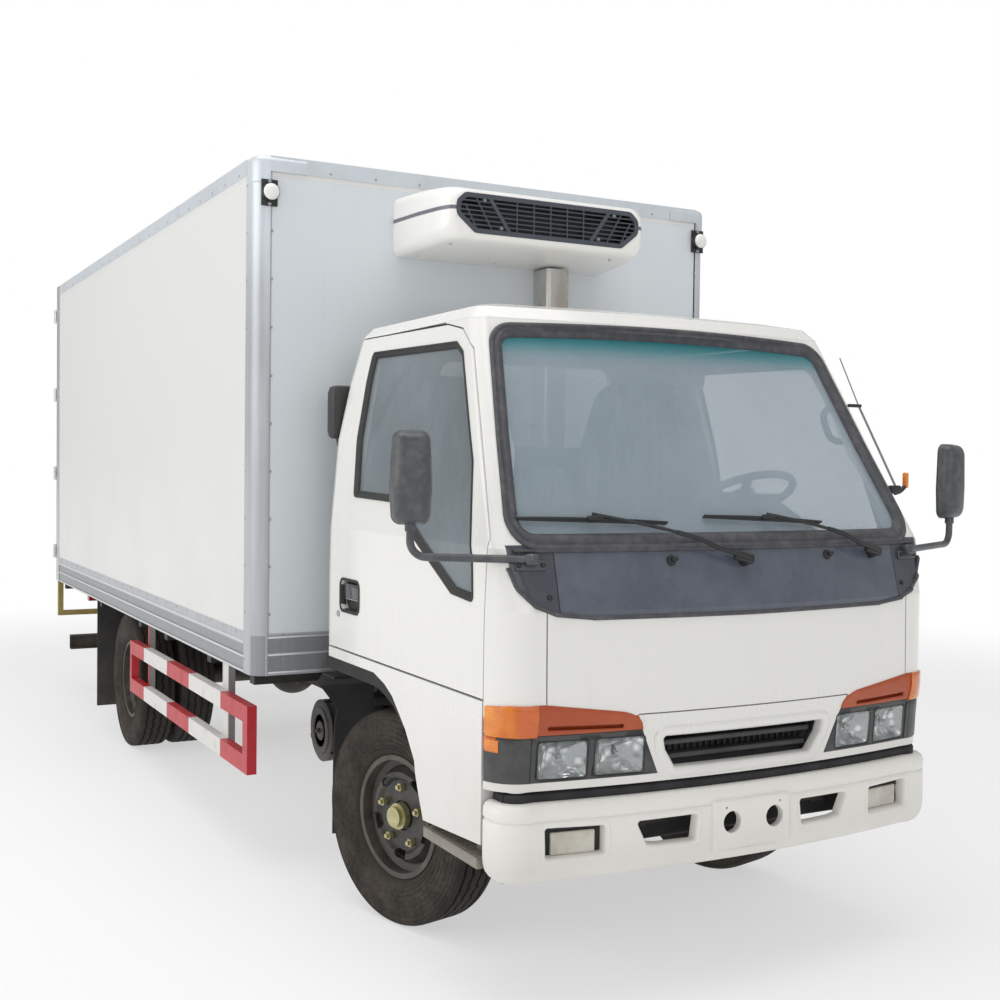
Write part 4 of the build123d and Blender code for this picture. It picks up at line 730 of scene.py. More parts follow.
cowl = Finish("cowl_slate")
x, y, z = cowl.axes()
dust = cowl.noise(9.0, 5.0).rise(0.3, 0.8) * 0.22 + cowl.noise(60.0, 3.0).rise(0.55, 0.8) * 0.1
caps = abs(y).line(0.668, 0.0018)
tint = cowl.mix(dust, "#505663", "#7f848e")
tint = cowl.mix(abs(y).rise(0.667, 0.669) * 0.55, tint, "#26282b")
tint = cowl.mix(caps, tint, "#0c0c0d")
coat(["cowl_panel"], cowl.surface(tint, dust + 0.22, cowl.bump(cowl.noise(600.0), 0.00005), Coat_Weight=0.3))


def settle(obj):
    """Move an object's place and turn into its mesh."""
    select_only(obj)
    bpy.ops.object.transform_apply(location=True, rotation=True, scale=True)
    return obj


def applied(obj, modifier):
    """Make a modifier part of the mesh."""
    select_only(obj)
    bpy.ops.object.modifier_apply(modifier=modifier.name)
    return obj


def slab(name, size, radius, steps=3):
    """A rounded block centred on the origin."""
    bpy.ops.object.select_all(action="DESELECT")
    bpy.ops.mesh.primitive_cube_add(size=1)
    obj = bpy.context.object
    obj.name = name
    obj.scale = size
    settle(obj)
    bevel = obj.modifiers.new("edge", "BEVEL")
    bevel.width, bevel.segments, bevel.limit_method = radius, steps, "NONE"
    return smooth(applied(obj, bevel), 35)


def knob(name, radius, length, radius_out=None, sides=28, edge=0.0):
    """A short turned peg along +X from the origin, its outer rim eased."""
    bpy.ops.object.select_all(action="DESELECT")
    bpy.ops.mesh.primitive_cone_add(vertices=sides, radius1=radius, radius2=radius_out or radius,
                                    depth=length, rotation=(0, math.pi / 2, 0),
                                    location=(length / 2, 0, 0))
    obj = settle(bpy.context.object)
    obj.name = name
    if edge:
        bevel = obj.modifiers.new("edge", "BEVEL")
        bevel.width, bevel.segments, bevel.angle_limit = edge, 3, math.radians(50)
        applied(obj, bevel)
    return smooth(obj, 40)


def stand(spot, normal, turn=0.0, up=(0, 0, 1)):
    """A place whose +X leaves the surface and whose +Z is as near up as it can be."""
    out = Vector(normal).normalized()
    side = Vector(up).cross(out).normalized()
    top = out.cross(side)
    base = Matrix((out, side, top)).transposed().to_4x4()
    return Matrix.Translation(spot) @ base @ Matrix.Rotation(turn, 4, "X")


def joined(name, parts):
    """Several meshes as one piece."""
    bpy.ops.object.select_all(action="DESELECT")
    for part in parts:
        part.select_set(True)
    bpy.context.view_layer.objects.active = parts[0]
    bpy.ops.object.join()
    parts[0].name = name
    return parts[0]


satin = Finish("satin_black_fittings")
tint = satin.mix(satin.noise(40.0, 4.0) * 0.5, "#17181a", "#3d3c3c")
fitting_black = satin.surface(tint, 0.38, satin.bump(satin.noise(300.0), 0.0001))

for label, y, z in (("left", 0.346, 1.350), ("right", -0.280, 1.346)):
    place = stand(*on_front(y, z - 0.005))
    parts = [put(knob("foot", 0.017, 0.010, 0.013, edge=0.003), place),
             put(slab("jet", (0.016, 0.022, 0.012), 0.004), place @ at(0.014, 0.004, 0.002))]
    dress(joined(f"washer_nozzle_{label}", parts), "cab", fitting_black)

WIPERS = (("right", (-0.012, 1.335), (-0.518, 1.468), (-0.767, 1.462), (-0.263, 1.446)),
          ("left", (0.555, 1.345), (0.122, 1.464), (-0.118, 1.465), (0.359, 1.442)))
for label, pivot, grip, tip, heel in WIPERS:
    base, normal = on_front(*pivot)
    place = stand(base, normal)
    parts = [put(knob("post", 0.019, 0.030, 0.015, edge=0.004), place)]
    tilt = math.atan2(grip[1] - pivot[1], grip[0] - pivot[0])
    head = stand(base + normal * 0.034, normal, tilt)
    parts.append(put(slab("head", (0.018, 0.075, 0.030), 0.007), head @ at(0, 0.022, 0)))
    route = []
    for step in range(9):
        share = step / 8
        spot, way = on_front(pivot[0] + (grip[0] - pivot[0]) * share, pivot[1] + (grip[1] - pivot[1]) * share)
        route.append(spot + way * (0.040 + 0.018 * math.sin(share * math.pi) - 0.012 * share))
    parts.append(hose("arm", route[:5], 0.0075))
    parts.append(hose("arm_end", route[4:], 0.0052))
    blade = []
    for step in range(13):
        share = step / 12
        blade.append(on_front(tip[0] + (heel[0] - tip[0]) * share, tip[1] + (heel[1] - tip[1]) * share))
    half = Vector((0, 0, 0.0045))
    rubber_rows = [[s + w * 0.0015, s + w * 0.010 + half, s + w * 0.012, s + w * 0.010 - half]
                   for s, w in blade]
    parts.append(woven("squeegee", rubber_rows, capped=True))
    bridge = [s + w * (0.017 + 0.009 * math.sin(math.pi * i / 12)) for i, (s, w) in enumerate(blade)]
    parts.append(hose("bridge", bridge, 0.0042))
    middle, way = blade[6]
    parts.append(put(slab("clip", (0.020, 0.050, 0.016), 0.005), stand(middle + way * 0.028, way)))
    dress(joined(f"wiper_{label}", parts), "cab", fitting_black)

# ---------------------------------------------------------------- lamp clusters
# One moulding each side carries two rectangular sealed lamps in a dark bezel, a painted orange
# strip with a slot above them, and the amber turn lens that wraps round the corner.
LENSES = ((0.570, 0.722, 0.710, 0.818), (0.382, 0.541, 0.711, 0.818))
SLOT = (0.459, 0.702, 0.854, 0.867)


def oblong(left, low, right, high):
    """The corners of a rectangle, counter-clockwise."""
    return [(left, low), (right, low), (right, high), (left, high)]


def bored(obj, cutters):
    """Cut shapes out of a closed mesh."""
    for index, cutter in enumerate(cutters):
        cut = obj.modifiers.new(f"cut{index}", "BOOLEAN")
        cut.operation, cut.solver, cut.object = "DIFFERENCE", "EXACT", cutter
        applied(obj, cut)
    for cutter in cutters:
        bpy.data.objects.remove(cutter)
    return obj


def lens_place(low_y, high_y, low_z, high_z, sign):
    """Where a lamp sits: its outward axis, and its size across and up."""
    y, z = sign * (low_y + high_y) / 2, (low_z + high_z) / 2
    one, other = on_front(sign * low_y, z)[0], on_front(sign * high_y, z)[0]
    foot, crown = on_front(y, low_z)[0], on_front(y, high_z)[0]
    side = (other - one).normalized() * sign
    top = (crown - foot).normalized()
    normal = side.cross(top).normalized()
    if normal.x < 0:
        normal = -normal
    return stand((one + other) / 2, normal, up=top), (other - one).length, (crown - foot).length


cluster = placed("lamp_clusters", node["headlamps"].data.copy())
edit(cluster, lambda: bpy.ops.mesh.remove_doubles(threshold=0.00001))
cutters = []
for sign in (1, -1):
    for lens in LENSES:
        place, wide, tall = lens_place(*lens, sign)
        cutters.append(put(slab("lens_hole", (0.080, wide + 0.008, tall + 0.008), 0.010), place))
    place, wide, tall = lens_place(*SLOT, sign)
    cutters.append(put(slab("slot_hole", (0.030, wide, tall), 0.004), place))
bored(cluster, cutters)
smooth(cluster, 40)
moulding = Finish("lamp_cluster_moulding")
x, y, z = moulding.axes()
flank = abs(y)
strip = z.rise(0.839, 0.841)
turn = flank.rise(0.747, 0.749)
fluted = (z * 1100.0).maths("SINE") * 0.5 + (flank * 700.0 + x * 700.0).maths("SINE") * 0.5
amber = moulding.mix(moulding.noise(22.0, 3.0).rise(0.35, 0.7), "#c3570e", "#f08a1a")
orange = moulding.mix(moulding.noise(12.0, 3.0) * 0.4, "#a94a22", "#b9592e")
bezel = moulding.mix(moulding.noise(20.0, 4.0).rise(0.3, 0.8) * 0.4, "#3a3b3d", "#5f5d5b")
reflector = turn * z.rise(0.792, 0.794) * z.rise(0.834, 0.832) * x.rise(AXLE_X + 0.912, AXLE_X + 0.910)
tint = moulding.mix(strip, bezel, orange)
tint = moulding.mix(turn * strip, tint, amber)
tint = moulding.mix(reflector, tint, "#e2701a")
gap = (z.line(0.840, 0.0018) + flank.line(0.748, 0.0018)).maths("MINIMUM", 1.0)
tint = moulding.mix(gap, tint, "#17171a")
lens_part = (turn * strip + reflector).maths("MINIMUM", 1.0)
normal = moulding.bump(fluted * lens_part + gap * -2.0, 0.0006)
moulding_finish = moulding.surface(tint, 0.42 - lens_part * 0.3, normal, Coat_Weight=lens_part * 0.6 + 0.1)
dress(cluster, "cab", moulding_finish, ["headlamps"])

silver = Finish("lamp_reflector")
facet = silver.cells(28.0)
tint = silver.mix(facet.rise(0.1, 0.5), "#f4f6f6", "#a9aeb0")
reflector_silver = silver.surface(tint, 0.12, silver.bump(facet, 0.006), Metallic=1.0)
clear = Finish("lamp_lens_fluted")
x, y, z = clear.axes()
flutes = (y * 1500.0).maths("SINE") * 0.7 + (z * 520.0 + y * 90.0).maths("SINE") * 0.3
cloud = clear.noise(14.0, 4.0).rise(0.35, 0.75)
lens_clear = clear.surface(clear.mix(cloud, "#d9dede", "#eef0ee"), 0.06,
                           clear.bump(flutes, 0.0016), alpha=cloud * 0.08 + 0.10, Specular_IOR_Level=0.6)
for side, sign in SIDES:
    for label, lens in zip(("outer", "inner"), LENSES):
        place, wide, tall = lens_place(*lens, sign)
        # the bowl: a rounded cup, deepest behind the bulb
        rows = []
        for share, depth in ((1.0, -0.004), (0.94, -0.010), (0.80, -0.020), (0.60, -0.028), (0.35, -0.033),
                             (0.12, -0.035)):
            wall = oblong(-wide / 2 * share, -tall / 2 * share, wide / 2 * share, tall / 2 * share)
            rows.append([(depth, y, z) for y, z in rounded(wall, 0.012 * share, 4)])
        bowl = put(smooth(woven("bowl", rows), 60), place)
        bulb = put(knob("bulb", 0.008, 0.022, 0.005, 16, 0.003), place @ at(-0.034, 0, 0.004))
        dress(joined(f"lamp_bowl_{side}_{label}", [bowl, bulb]), "cab", reflector_silver)
        glass_cover = slab("lens", (0.008, wide + 0.002, tall + 0.002), 0.0038)
        for vertex in glass_cover.data.vertices:
            if vertex.co.x > 0:
                crown = 0.004 * (1 - (2 * vertex.co.y / wide) ** 2)
                vertex.co.x += crown * (1 - (2 * vertex.co.z / tall) ** 2)
        put(glass_cover, place @ at(-0.001, 0, 0))
        glass_cover.name = f"lamp_lens_{side}_{label}"
        dress(glass_cover, "cab", lens_clear)
        edge = oblong(-wide / 2 - 0.004, -tall / 2 - 0.004, wide / 2 + 0.004, tall / 2 + 0.004)
        loop = [(-0.001, y, z) for y, z in rounded(edge, 0.012, 5)]
        retainer = put(hose("retainer", loop, 0.0028, False, 2, True), place)
        retainer.name = f"lamp_retainer_{side}_{label}"
        dress(retainer, "cab", fitting_black)

# ---------------------------------------------------------------- turn lenses and orange strips
# Above the lamps an orange moulding with a slot sweeps down at its inner end, and a ribbed amber
# lens continues it round the corner of the nose. Both stand a little proud of the panel.
STRIP_FOOT = 0.841
STRIP_IN, STRIP_OUT = 0.392, 0.7455


def strip_top(flank):
    """Height of the strip's upper edge: level outside, falling in a quarter round inside."""
    rise = 0.893 + min(max(flank - 0.411, 0), 0.30) * 0.13
    fall = max(0.0, (0.480 - flank) / (0.480 - STRIP_IN))
    return rise - (rise - STRIP_FOOT - 0.006) * (1 - math.sqrt(max(0.0, 1 - fall ** 2.6)))


def plate(name, columns, lift, back=-0.004, edge=0.003):
    """A closed plate over columns of (feel, low, high), with an eased rim."""
    rows = []
    for feel, low, high in columns:
        between = [low + (high - low) * k / 5 for k in range(1, 5)]
        heights = [low, low, low + edge] + between + [high - edge, high, high]
        lifts = [back, lift - edge] + [lift] * (len(heights) - 4) + [lift - edge, back]
        rows.append([feel(z, up) for z, up in zip(heights, lifts)])
    return smooth(woven(name, rows, capped=True), 50)


def round_nose(sign, angle):
    """Feels for the nose's corner from outside, 0 facing ahead and 90 facing the side."""
    middle = Vector((AXLE_X + 0.84, sign * 0.72, 0))
    away = Vector((math.cos(math.radians(angle)), sign * math.sin(math.radians(angle)), 0))

    def feel(z, lift):
        return felt(front_skin, middle + away * 0.8 + Vector((0, 0, z)), -away)[0] + away * lift

    return feel


def lens_edge(angle):
    """Height of the amber lens round the corner, a little lower toward the side."""
    return 0.931 - 0.008 * max(0.0, (angle - 40) / 36)


amber = Finish("turn_lens_amber")
x, y, z = amber.axes()
ribs = (z * 900.0).maths("SINE") * 0.6 + (abs(y) * 800.0 + x * 800.0).maths("SINE") * 0.4
glow = amber.noise(11.0, 1.0).rise(0.30, 0.75)
tint = amber.mix(glow, "#cf5f0e", "#f0921c")
lens_amber = amber.surface(tint, 0.12, amber.bump(ribs, 0.0008), Coat_Weight=0.6)
orange = Finish("strip_orange")
tint = orange.mix(orange.noise(9.0, 3.0).rise(0.3, 0.8) * 0.5, "#a94a26", "#bb6034")
strip_orange = orange.surface(tint, 0.4, orange.bump(orange.noise(400.0), 0.00005))
for side, sign in SIDES:
    columns = []
    for step in range(28):
        flank = STRIP_IN + (STRIP_OUT - STRIP_IN) * (step / 27) ** 1.3
        columns.append((lambda z, up, f=flank: on_front(sign * f, z, up)[0], STRIP_FOOT, strip_top(flank)))
    strip = plate("strip", columns, 0.0045)
    place, wide, tall = lens_place(*SLOT, sign)
    strip = bored(strip, [put(slab("slot", (0.030, wide, tall), 0.004), place)])
    strip.name = f"lamp_strip_{side}"
    dress(strip, "cab", strip_orange)
    columns = [(round_nose(sign, angle), STRIP_FOOT - 0.005, lens_edge(angle)) for angle in range(6, 78, 4)]
    lens = plate(f"turn_lens_{side}", columns, 0.008)
    dress(lens, "cab", lens_amber)
    flat_back = [(round_nose(sign, angle), 0.700, STRIP_FOOT - 0.009) for angle in range(6, 78, 4)]
    dress(plate(f"lamp_corner_{side}", flat_back, 0.003), "cab", moulding_finish)
    reflector = [(round_nose(sign, angle), 0.790, 0.828) for angle in range(54, 75, 4)]
    dress(plate(f"side_reflector_{side}", reflector, 0.006), "cab", lens_amber)

# ---------------------------------------------------------------- grille surround
# The opening in the nose has a soft lip, painted with the cab.
GRILLE = [(-0.321, 0.816), (-0.309, 0.770), (-0.268, 0.709), (0.268, 0.709), (0.309, 0.770), (0.321, 0.816)]
LIP = [(0.030, -0.002), (0.026, 0.0012), (0.014, 0.004), (0.005, 0.003), (-0.002, -0.002), (-0.005, -0.010),
       (-0.006, -0.032), (-0.002, -0.034), (0.004, -0.008), (0.020, -0.004)]


def fixed_plane(y, z, lift):
    """The nose at the grille, as a smooth bow with no hole in it."""
    bow = AXLE_X + 1.0185 + (z - 0.69) * 0.10 - y * y / (2 * 4.48)
    return Vector((bow + lift, y, z)), Vector((1, 0, 0))


lip = ring("grille_surround", dense(rounded(GRILLE, 0.014, 5), 0.03), LIP, fixed_plane)
dress(lip, "cab", cab_paint)

# ---------------------------------------------------------------- bumper
# One pressing across the nose: rolled top and foot, a crease under the roll, a proud field for the
# number plate, two vents, two fog lamps in moulded pockets, and a dark strip closing the gap above.
NOSE_X, NOSE_BOW, NOSE_BEND = AXLE_X + 1.049, 4.48, 0.735
CORNER_X, FLANK_END = AXLE_X + 0.925, AXLE_X + 0.866
BUMPER_SKIN = 0.004
PRESSING = [(0.060, 0.640), (0.030, 0.6445), (0.016, 0.643), (0.006, 0.636), (0.001, 0.626), (0, 0.615),
            (0, 0.602), (0.002, 0.597), (0.0055, 0.592), (0.002, 0.588), (0.0, 0.584), (0, 0.560), (0, 0.475),
            (0.002, 0.455), (0.009, 0.434), (0.022, 0.416), (0.040, 0.406), (0.060, 0.403)]


def arc3(start, through, end, steps):
    """Points from start to end on the arc through a middle point."""
    (ax, ay), (bx, by), (cx, cy) = start, through, end
    d = 2 * (ax * (by - cy) + bx * (cy - ay) + cx * (ay - by))
    aa, bb, cc = ax ** 2 + ay ** 2, bx ** 2 + by ** 2, cx ** 2 + cy ** 2
    ux = (aa * (by - cy) + bb * (cy - ay) + cc * (ay - by)) / d
    uy = (aa * (cx - bx) + bb * (ax - cx) + cc * (bx - ax)) / d
    radius = math.hypot(ax - ux, ay - uy)
    first = math.atan2(ay - uy, ax - ux)
    swing = math.remainder(math.atan2(cy - uy, cx - ux) - first, 2 * math.pi)
    return [(ux + radius * math.cos(first + swing * k / steps),
             uy + radius * math.sin(first + swing * k / steps))
            for k in range(steps + 1)]


bend_x = NOSE_X - NOSE_BEND ** 2 / (2 * NOSE_BOW)
through = (CORNER_X + 0.72 * (bend_x - CORNER_X), NOSE_BEND + 0.72 * (CAB_HALF - NOSE_BEND))
half_plan = [(NOSE_X - (NOSE_BEND * k / 16) ** 2 / (2 * NOSE_BOW), NOSE_BEND * k / 16) for k in range(16)]
half_plan += arc3((bend_x, NOSE_BEND), through, (CORNER_X, CAB_HALF), 12) + [(FLANK_END, CAB_HALF)]
bumper_plan = [(x, -y) for x, y in reversed(half_plan[1:])] + half_plan


def swept(name, section):
    """A closed section of (inset, z) carried along the bumper's plan."""
    rows = []
    for index, point in enumerate(bumper_plan):
        way = outward(bumper_plan, index, closed=False)
        rows.append([(point[0] - way.x * inset, point[1] - way.y * inset, z) for inset, z in section])
    return smooth(woven(name, rows, capped=True), 40)


inner = []
for index, (inset, z) in enumerate(PRESSING):
    way = outward(PRESSING, index, closed=False)
    inner.append((inset - way.x * BUMPER_SKIN, z - way.y * BUMPER_SKIN))
pressing = swept("pressing", PRESSING + inner[::-1])
corners = [v.co.copy() for v in pressing.data.vertices]
bumper_skin = BVHTree.FromPolygons(corners, [list(face.vertices) for face in pressing.data.polygons])


def on_bumper(y, z, lift=0.0):
    spot = bumper_skin.ray_cast(Vector((WELL_AHEAD, y, z)), Vector((-1, 0, 0)))[0]
    normal = Vector((1, 0.22 * y, 0)).normalized()
    return spot + normal * lift, normal


def prism(name, outline, low_x, high_x):
    """An outline of y and z points pushed along the truck."""
    return woven(name, [[(x, y, z) for y, z in outline] for x in (low_x, high_x)], capped=True)


VENT = [(0.197, 0.573), (0.421, 0.571), (0.382, 0.492), (0.345, 0.487), (0.208, 0.485)]
FOG = [(0.517, 0.570), (0.714, 0.576), (0.711, 0.479), (0.517, 0.479)]
POCKET = [(0.013, -0.003), (0.0125, 0.0008), (0.009, 0.0032), (0.004, 0.0030), (-0.001, -0.001),
          (-0.004, -0.008), (-0.007, -0.032), (-0.003, -0.034), (0.001, -0.010), (0.006, -0.0045)]
field_edge = rounded(oblong(-0.150, 0.447, 0.150, 0.600), 0.004, 2)
field_edge = turned_left(dense(field_edge, 0.025))
field_rows = []
for out, lift in ((0.003, -0.003), (0.002, 0.001), (-0.001, 0.0125), (-0.004, 0.0152)):
    row = []
    for index, point in enumerate(field_edge):
        place = Vector(point) + outward(field_edge, index) * out
        spot = on_bumper(place.x, max(place.y, 0.470), lift)[0]
        row.append((spot.x if lift > 0 else spot.x - 0.006, place.x, place.y))
    field_rows.append(row)
field = smooth(woven("plate_field", field_rows, capped=True), 30)
cutters, field_cutters, pockets = [], [], []
for sign in (1, -1):
    for outline in (VENT, FOG):
        edge = rounded([(sign * y, z) for y, z in outline], 0.012, 5)
        cutters.append(prism("hole", edge, AXLE_X + 0.90, AXLE_X + 1.10))
        pockets.append(ring("pocket", dense(edge, 0.02), POCKET, on_bumper))
    for y, z, radius in ((0.083, 0.535, 0.034), (0.105, 0.581, 0.004)):
        circle = [(sign * y + radius * math.cos(k * math.pi / 20),
                   z + radius * math.sin(k * math.pi / 20)) for k in range(40)]
        cutters.append(prism("hole", circle, AXLE_X + 0.90, AXLE_X + 1.10))
        field_cutters.append(prism("hole", circle, AXLE_X + 0.90, AXLE_X + 1.10))
pressing = bored(pressing, cutters)
field = bored(field, field_cutters)
bumper = joined("bumper_pressing", [pressing, field] + pockets)
dress(bumper, "chassis", bumper_paint, ["bumper"])

matt = Finish("matt_black_inner")
tint = matt.mix(matt.noise(12.0, 4.0).rise(0.3, 0.8) * 0.6, "#17171a", "#37373b")
matt_black = matt.surface(tint, 0.65, matt.bump(matt.noise(200.0), 0.0003))
GAP_STRIP = [(0.034, 0.634), (0.034, 0.664), (0.038, 0.668), (0.060, 0.668), (0.060, 0.634)]
dress(swept("bumper_gap_strip", GAP_STRIP), "chassis", matt_black)
beam = slab("bumper_beam", (0.020, 1.46, 0.090), 0.008)
for vertex in beam.data.vertices:
    vertex.co.x -= vertex.co.y ** 2 / (2 * NOSE_BOW)
put(beam, at(AXLE_X + 0.978, 0, 0.522))
edit(beam, lambda: bpy.ops.mesh.subdivide(number_cuts=2))
dress(beam, "chassis", matt_black)

fog = Finish("fog_lens")
x, y, z = fog.axes()
flutes = (y * 1300.0).maths("SINE") * 0.8 + (z * 500.0).maths("SINE") * 0.2
tint = fog.mix(fog.noise(12.0, 2.0).rise(0.3, 0.7), "#cfc8ba", "#e9e5da")
fog_lens = fog.surface(tint, 0.18, fog.bump(flutes, 0.0012), Coat_Weight=0.5)
for side, sign in SIDES:
    place = stand(*on_bumper(sign * 0.615, 0.522, -0.028))
    shell = put(slab("lamp_back", (0.014, 0.186, 0.084), 0.005), place @ at(-0.012, 0, 0.003))
    shell.name = f"fog_housing_{side}"
    dress(shell, "chassis", matt_black)
    cover = put(slab(f"fog_lens_{side}", (0.012, 0.142, 0.067), 0.004), place @ at(0, 0, -0.003))
    dress(cover, "chassis", fog_lens)

# ---------------------------------------------------------------- cooling unit cover and its grille
# A moulded white cover, widest at the wall, parted by a grey belt. A dark slatted grille closes its
# front: six slats, uprights between two slanted posts, and four screws.
UNIT_FORM = [(-0.0024, 0.497, 2.462, 2.701, 0.030), (0.20, 0.482, 2.470, 2.700, 0.040),
             (0.335, 0.462, 2.480, 2.693, 0.050), (0.378, 0.450, 2.486, 2.687, 0.055),
             (0.398, 0.440, 2.494, 2.680, 0.060), (0.408, 0.428, 2.504, 2.671, 0.062),
             (0.4095, 0.422, 2.510, 2.666, 0.062)]


def unit_row(out, half, low, high, radius):
    return [(BOX_FRONT + out, y, z) for y, z in rounded(oblong(-half, low, half, high), radius, 6)]


cover = woven("unit_cover", [unit_row(*row) for row in UNIT_FORM], capped=True)
mouth = [(-0.400, 2.625), (-0.372, 2.650), (0.372, 2.650), (0.400, 2.625), (0.400, 2.585), (0.330, 2.528),
         (-0.330, 2.528), (-0.400, 2.585)]
mouth = turned_left(dense(rounded(mouth, 0.018, 4), 0.03))
smooth(bored(cover, [prism("mouth", mouth, BOX_FRONT + 0.34, BOX_FRONT + 0.43)]), 40)
paint, tint, skin, film = body_paint("unit_cover_white", "#f0efec", 0.03, 2.3, 2.5, 0.02)
x, y, z = paint.axes()
# painted shade: the walls and back of the mouth are painted near-black, for the shaded hollow behind the
# grille
inside = x.rise(BOX_FRONT + 0.4085, BOX_FRONT + 0.4075) * x.rise(BOX_FRONT + 0.33, BOX_FRONT + 0.335)
inside = inside * abs(y).rise(0.403, 0.4025) * z.rise(2.526, 2.5265) * z.rise(2.652, 2.6515)
belt = z.line(2.6035, 0.0075) * (1 - inside)
tint = paint.mix(belt, tint, "#6a6a74")
tint = paint.mix(inside, tint, "#17181b")
unit_white = paint.surface(tint, 0.3, paint.bump(belt * -1.0, 0.002, skin), Coat_Weight=0.3,
                           Coat_Roughness=0.15)
dress(cover, "chassis", unit_white, ["cooling_unit"])

lattice = Finish("unit_grille_grey")
tint = lattice.mix(lattice.noise(30.0, 3.0) * 0.4, "#3f434c", "#5b5f67")
lattice_grey = lattice.surface(tint, 0.5)


def unit_plane(y, z, lift):
    return Vector((BOX_FRONT + 0.4095 + lift, y, z)), Vector((1, 0, 0))


def reach(z):
    """Half the mouth's width at a height."""
    if z > 2.625:
        return 0.400 - (z - 2.625) * 1.12
    return 0.400 if z > 2.585 else 0.330 + (z - 2.528) * 1.228


RIM = [(0.016, -0.002), (0.015, 0.003), (0.002, 0.004), (-0.003, 0.002), (-0.003, -0.010), (0.004, -0.010)]
parts = [ring("rim", mouth, RIM, unit_plane)]
SLATS, SLAT_GAP = 6, 0.0178
for number in range(SLATS):
    z = 2.5455 + SLAT_GAP * number
    parts.append(put(slab("slat", (0.012, 2 * reach(z), 0.0052), 0.0015, 2), at(BOX_FRONT + 0.406, 0, z)))


def rod(foot, crown, thick, out):
    """A flat bar between two points of the grille's plane."""
    (y0, z0), (y1, z1) = foot, crown
    bar = slab("bar", (0.010, thick, math.hypot(y1 - y0, z1 - z0)), 0.0015, 2)
    lean = Matrix.Rotation(-math.atan2(y1 - y0, z1 - z0), 4, "X")
    return put(bar, at(BOX_FRONT + out, (y0 + y1) / 2, (z0 + z1) / 2) @ lean)


for y in (-0.152, -0.076, 0, 0.076, 0.152):
    parts.append(rod((y, 2.528), (y, 2.650), 0.0050, 0.407))
for sign in (1, -1):
    parts.append(rod((sign * 0.186, 2.528), (sign * 0.272, 2.650), 0.0150, 0.4085))
    parts.append(rod((sign * 0.262, 2.528), (sign * 0.330, 2.645), 0.0055, 0.407))
    parts.append(rod((sign * 0.331, 2.533), (sign * 0.378, 2.620), 0.0055, 0.407))
    for y, z in ((0.296, 2.640), (0.222, 2.540)):
        parts.append(put(knob("boss", 0.011, 0.014, 0.010, 20, 0.002), at(BOX_FRONT + 0.400, sign * y, z)))
dress(joined("unit_grille", parts), "chassis", lattice_grey)

screw_steel = Finish("bright_screws").surface("#a9acb0", 0.35, Metallic=0.7)
parts = []
for sign in (1, -1):
    for y, z in ((0.296, 2.640), (0.222, 2.540)):
        parts.append(put(knob("screw", 0.0055, 0.003, 0.0045, 12), at(BOX_FRONT + 0.4115, sign * y, z)))
for y, out in ((-0.40, 0.33), (-0.42, 0.06), (-0.06, 0.06), (0.33, 0.33)):
    below = at(BOX_FRONT + out, y, 2.4775 - 0.01 * (out < 0.1)) @ Matrix.Rotation(math.pi / 2, 4, "Y")
    parts.append(put(knob("screw", 0.006, 0.004, 0.005, 12), below))
dress(joined("unit_screws", parts), "chassis", screw_steel)

# ---------------------------------------------------------------- box trims, rivets and corner castings
# Pop rivets run down both legs of the corner posts and along the top and bottom trims. A rounded
# casting closes each top front corner, with the marker lamp screwed on just below it.
RIVET = 0.0055


def rivets(name, spots):
    """Domed heads from (place, direction) pairs."""
    corners, faces = [], []
    for spot, way in spots:
        place = stand(Vector(spot), Vector(way), up=(0, 0, 1) if abs(way[2]) < 0.5 else (1, 0, 0))
        first = len(corners)
        corners.append(place @ Vector((RIVET * 0.55, 0, 0)))
        for radius, lift in ((0.62, 0.42), (1.0, 0.0), (0.9, -0.12)):
            for step in range(8):
                turn = step * math.pi / 4
                corners.append(place @ Vector((RIVET * lift, RIVET * radius * math.cos(turn),
                                               RIVET * radius * math.sin(turn))))
        for step in range(8):
            after = (step + 1) % 8
            faces.append((first, first + 1 + step, first + 1 + after))
            for layer in (0, 8):
                faces.append((first + 1 + layer + step, first + 9 + layer + step, first + 9 + layer + after,
                              first + 1 + layer + after))
        faces.append(tuple(first + 17 + step for step in reversed(range(8))))
    mesh = bpy.data.meshes.new(name)
    mesh.from_pydata(corners, [], faces)
    obj = placed(name, mesh)
    edit(obj, lambda: bpy.ops.mesh.normals_make_consistent(inside=False))
    return smooth(obj, 80)


spots = []
for sign in (1, -1):
    for k in range(11):
        z = 0.845 + 0.186 * k
        spots.append(((BOX_FRONT - 0.108, sign * BOX_HALF, z), (0, sign, 0)))
        if k < 10:
            spots.append(((BOX_FRONT, sign * (BOX_HALF - 0.066), z), (1, 0, 0)))
    for k in range(22):
        x = BOX_FRONT - 0.22 - 0.192 * k
        spots.append(((x, sign * BOX_HALF, 2.762), (0, sign, 0)))
        spots.append(((x, sign * (BOX_HALF - 0.001), 0.944), (0, sign, 0)))
for k in range(11):
    y = -0.96 + 0.192 * k
    spots.append(((BOX_FRONT, y, 2.764), (1, 0, 0)))
for y in (-0.95, -0.62, -0.45, 0.0, 0.45, 0.62, 0.95):
    spots.append(((BOX_FRONT - 0.001, y, 0.951), (1, 0, 0)))
    spots.append(((BOX_FRONT - 0.001, y, 0.852), (1, 0, 0)))
dress(rivets("box_rivets", spots), "chassis", screw_steel)
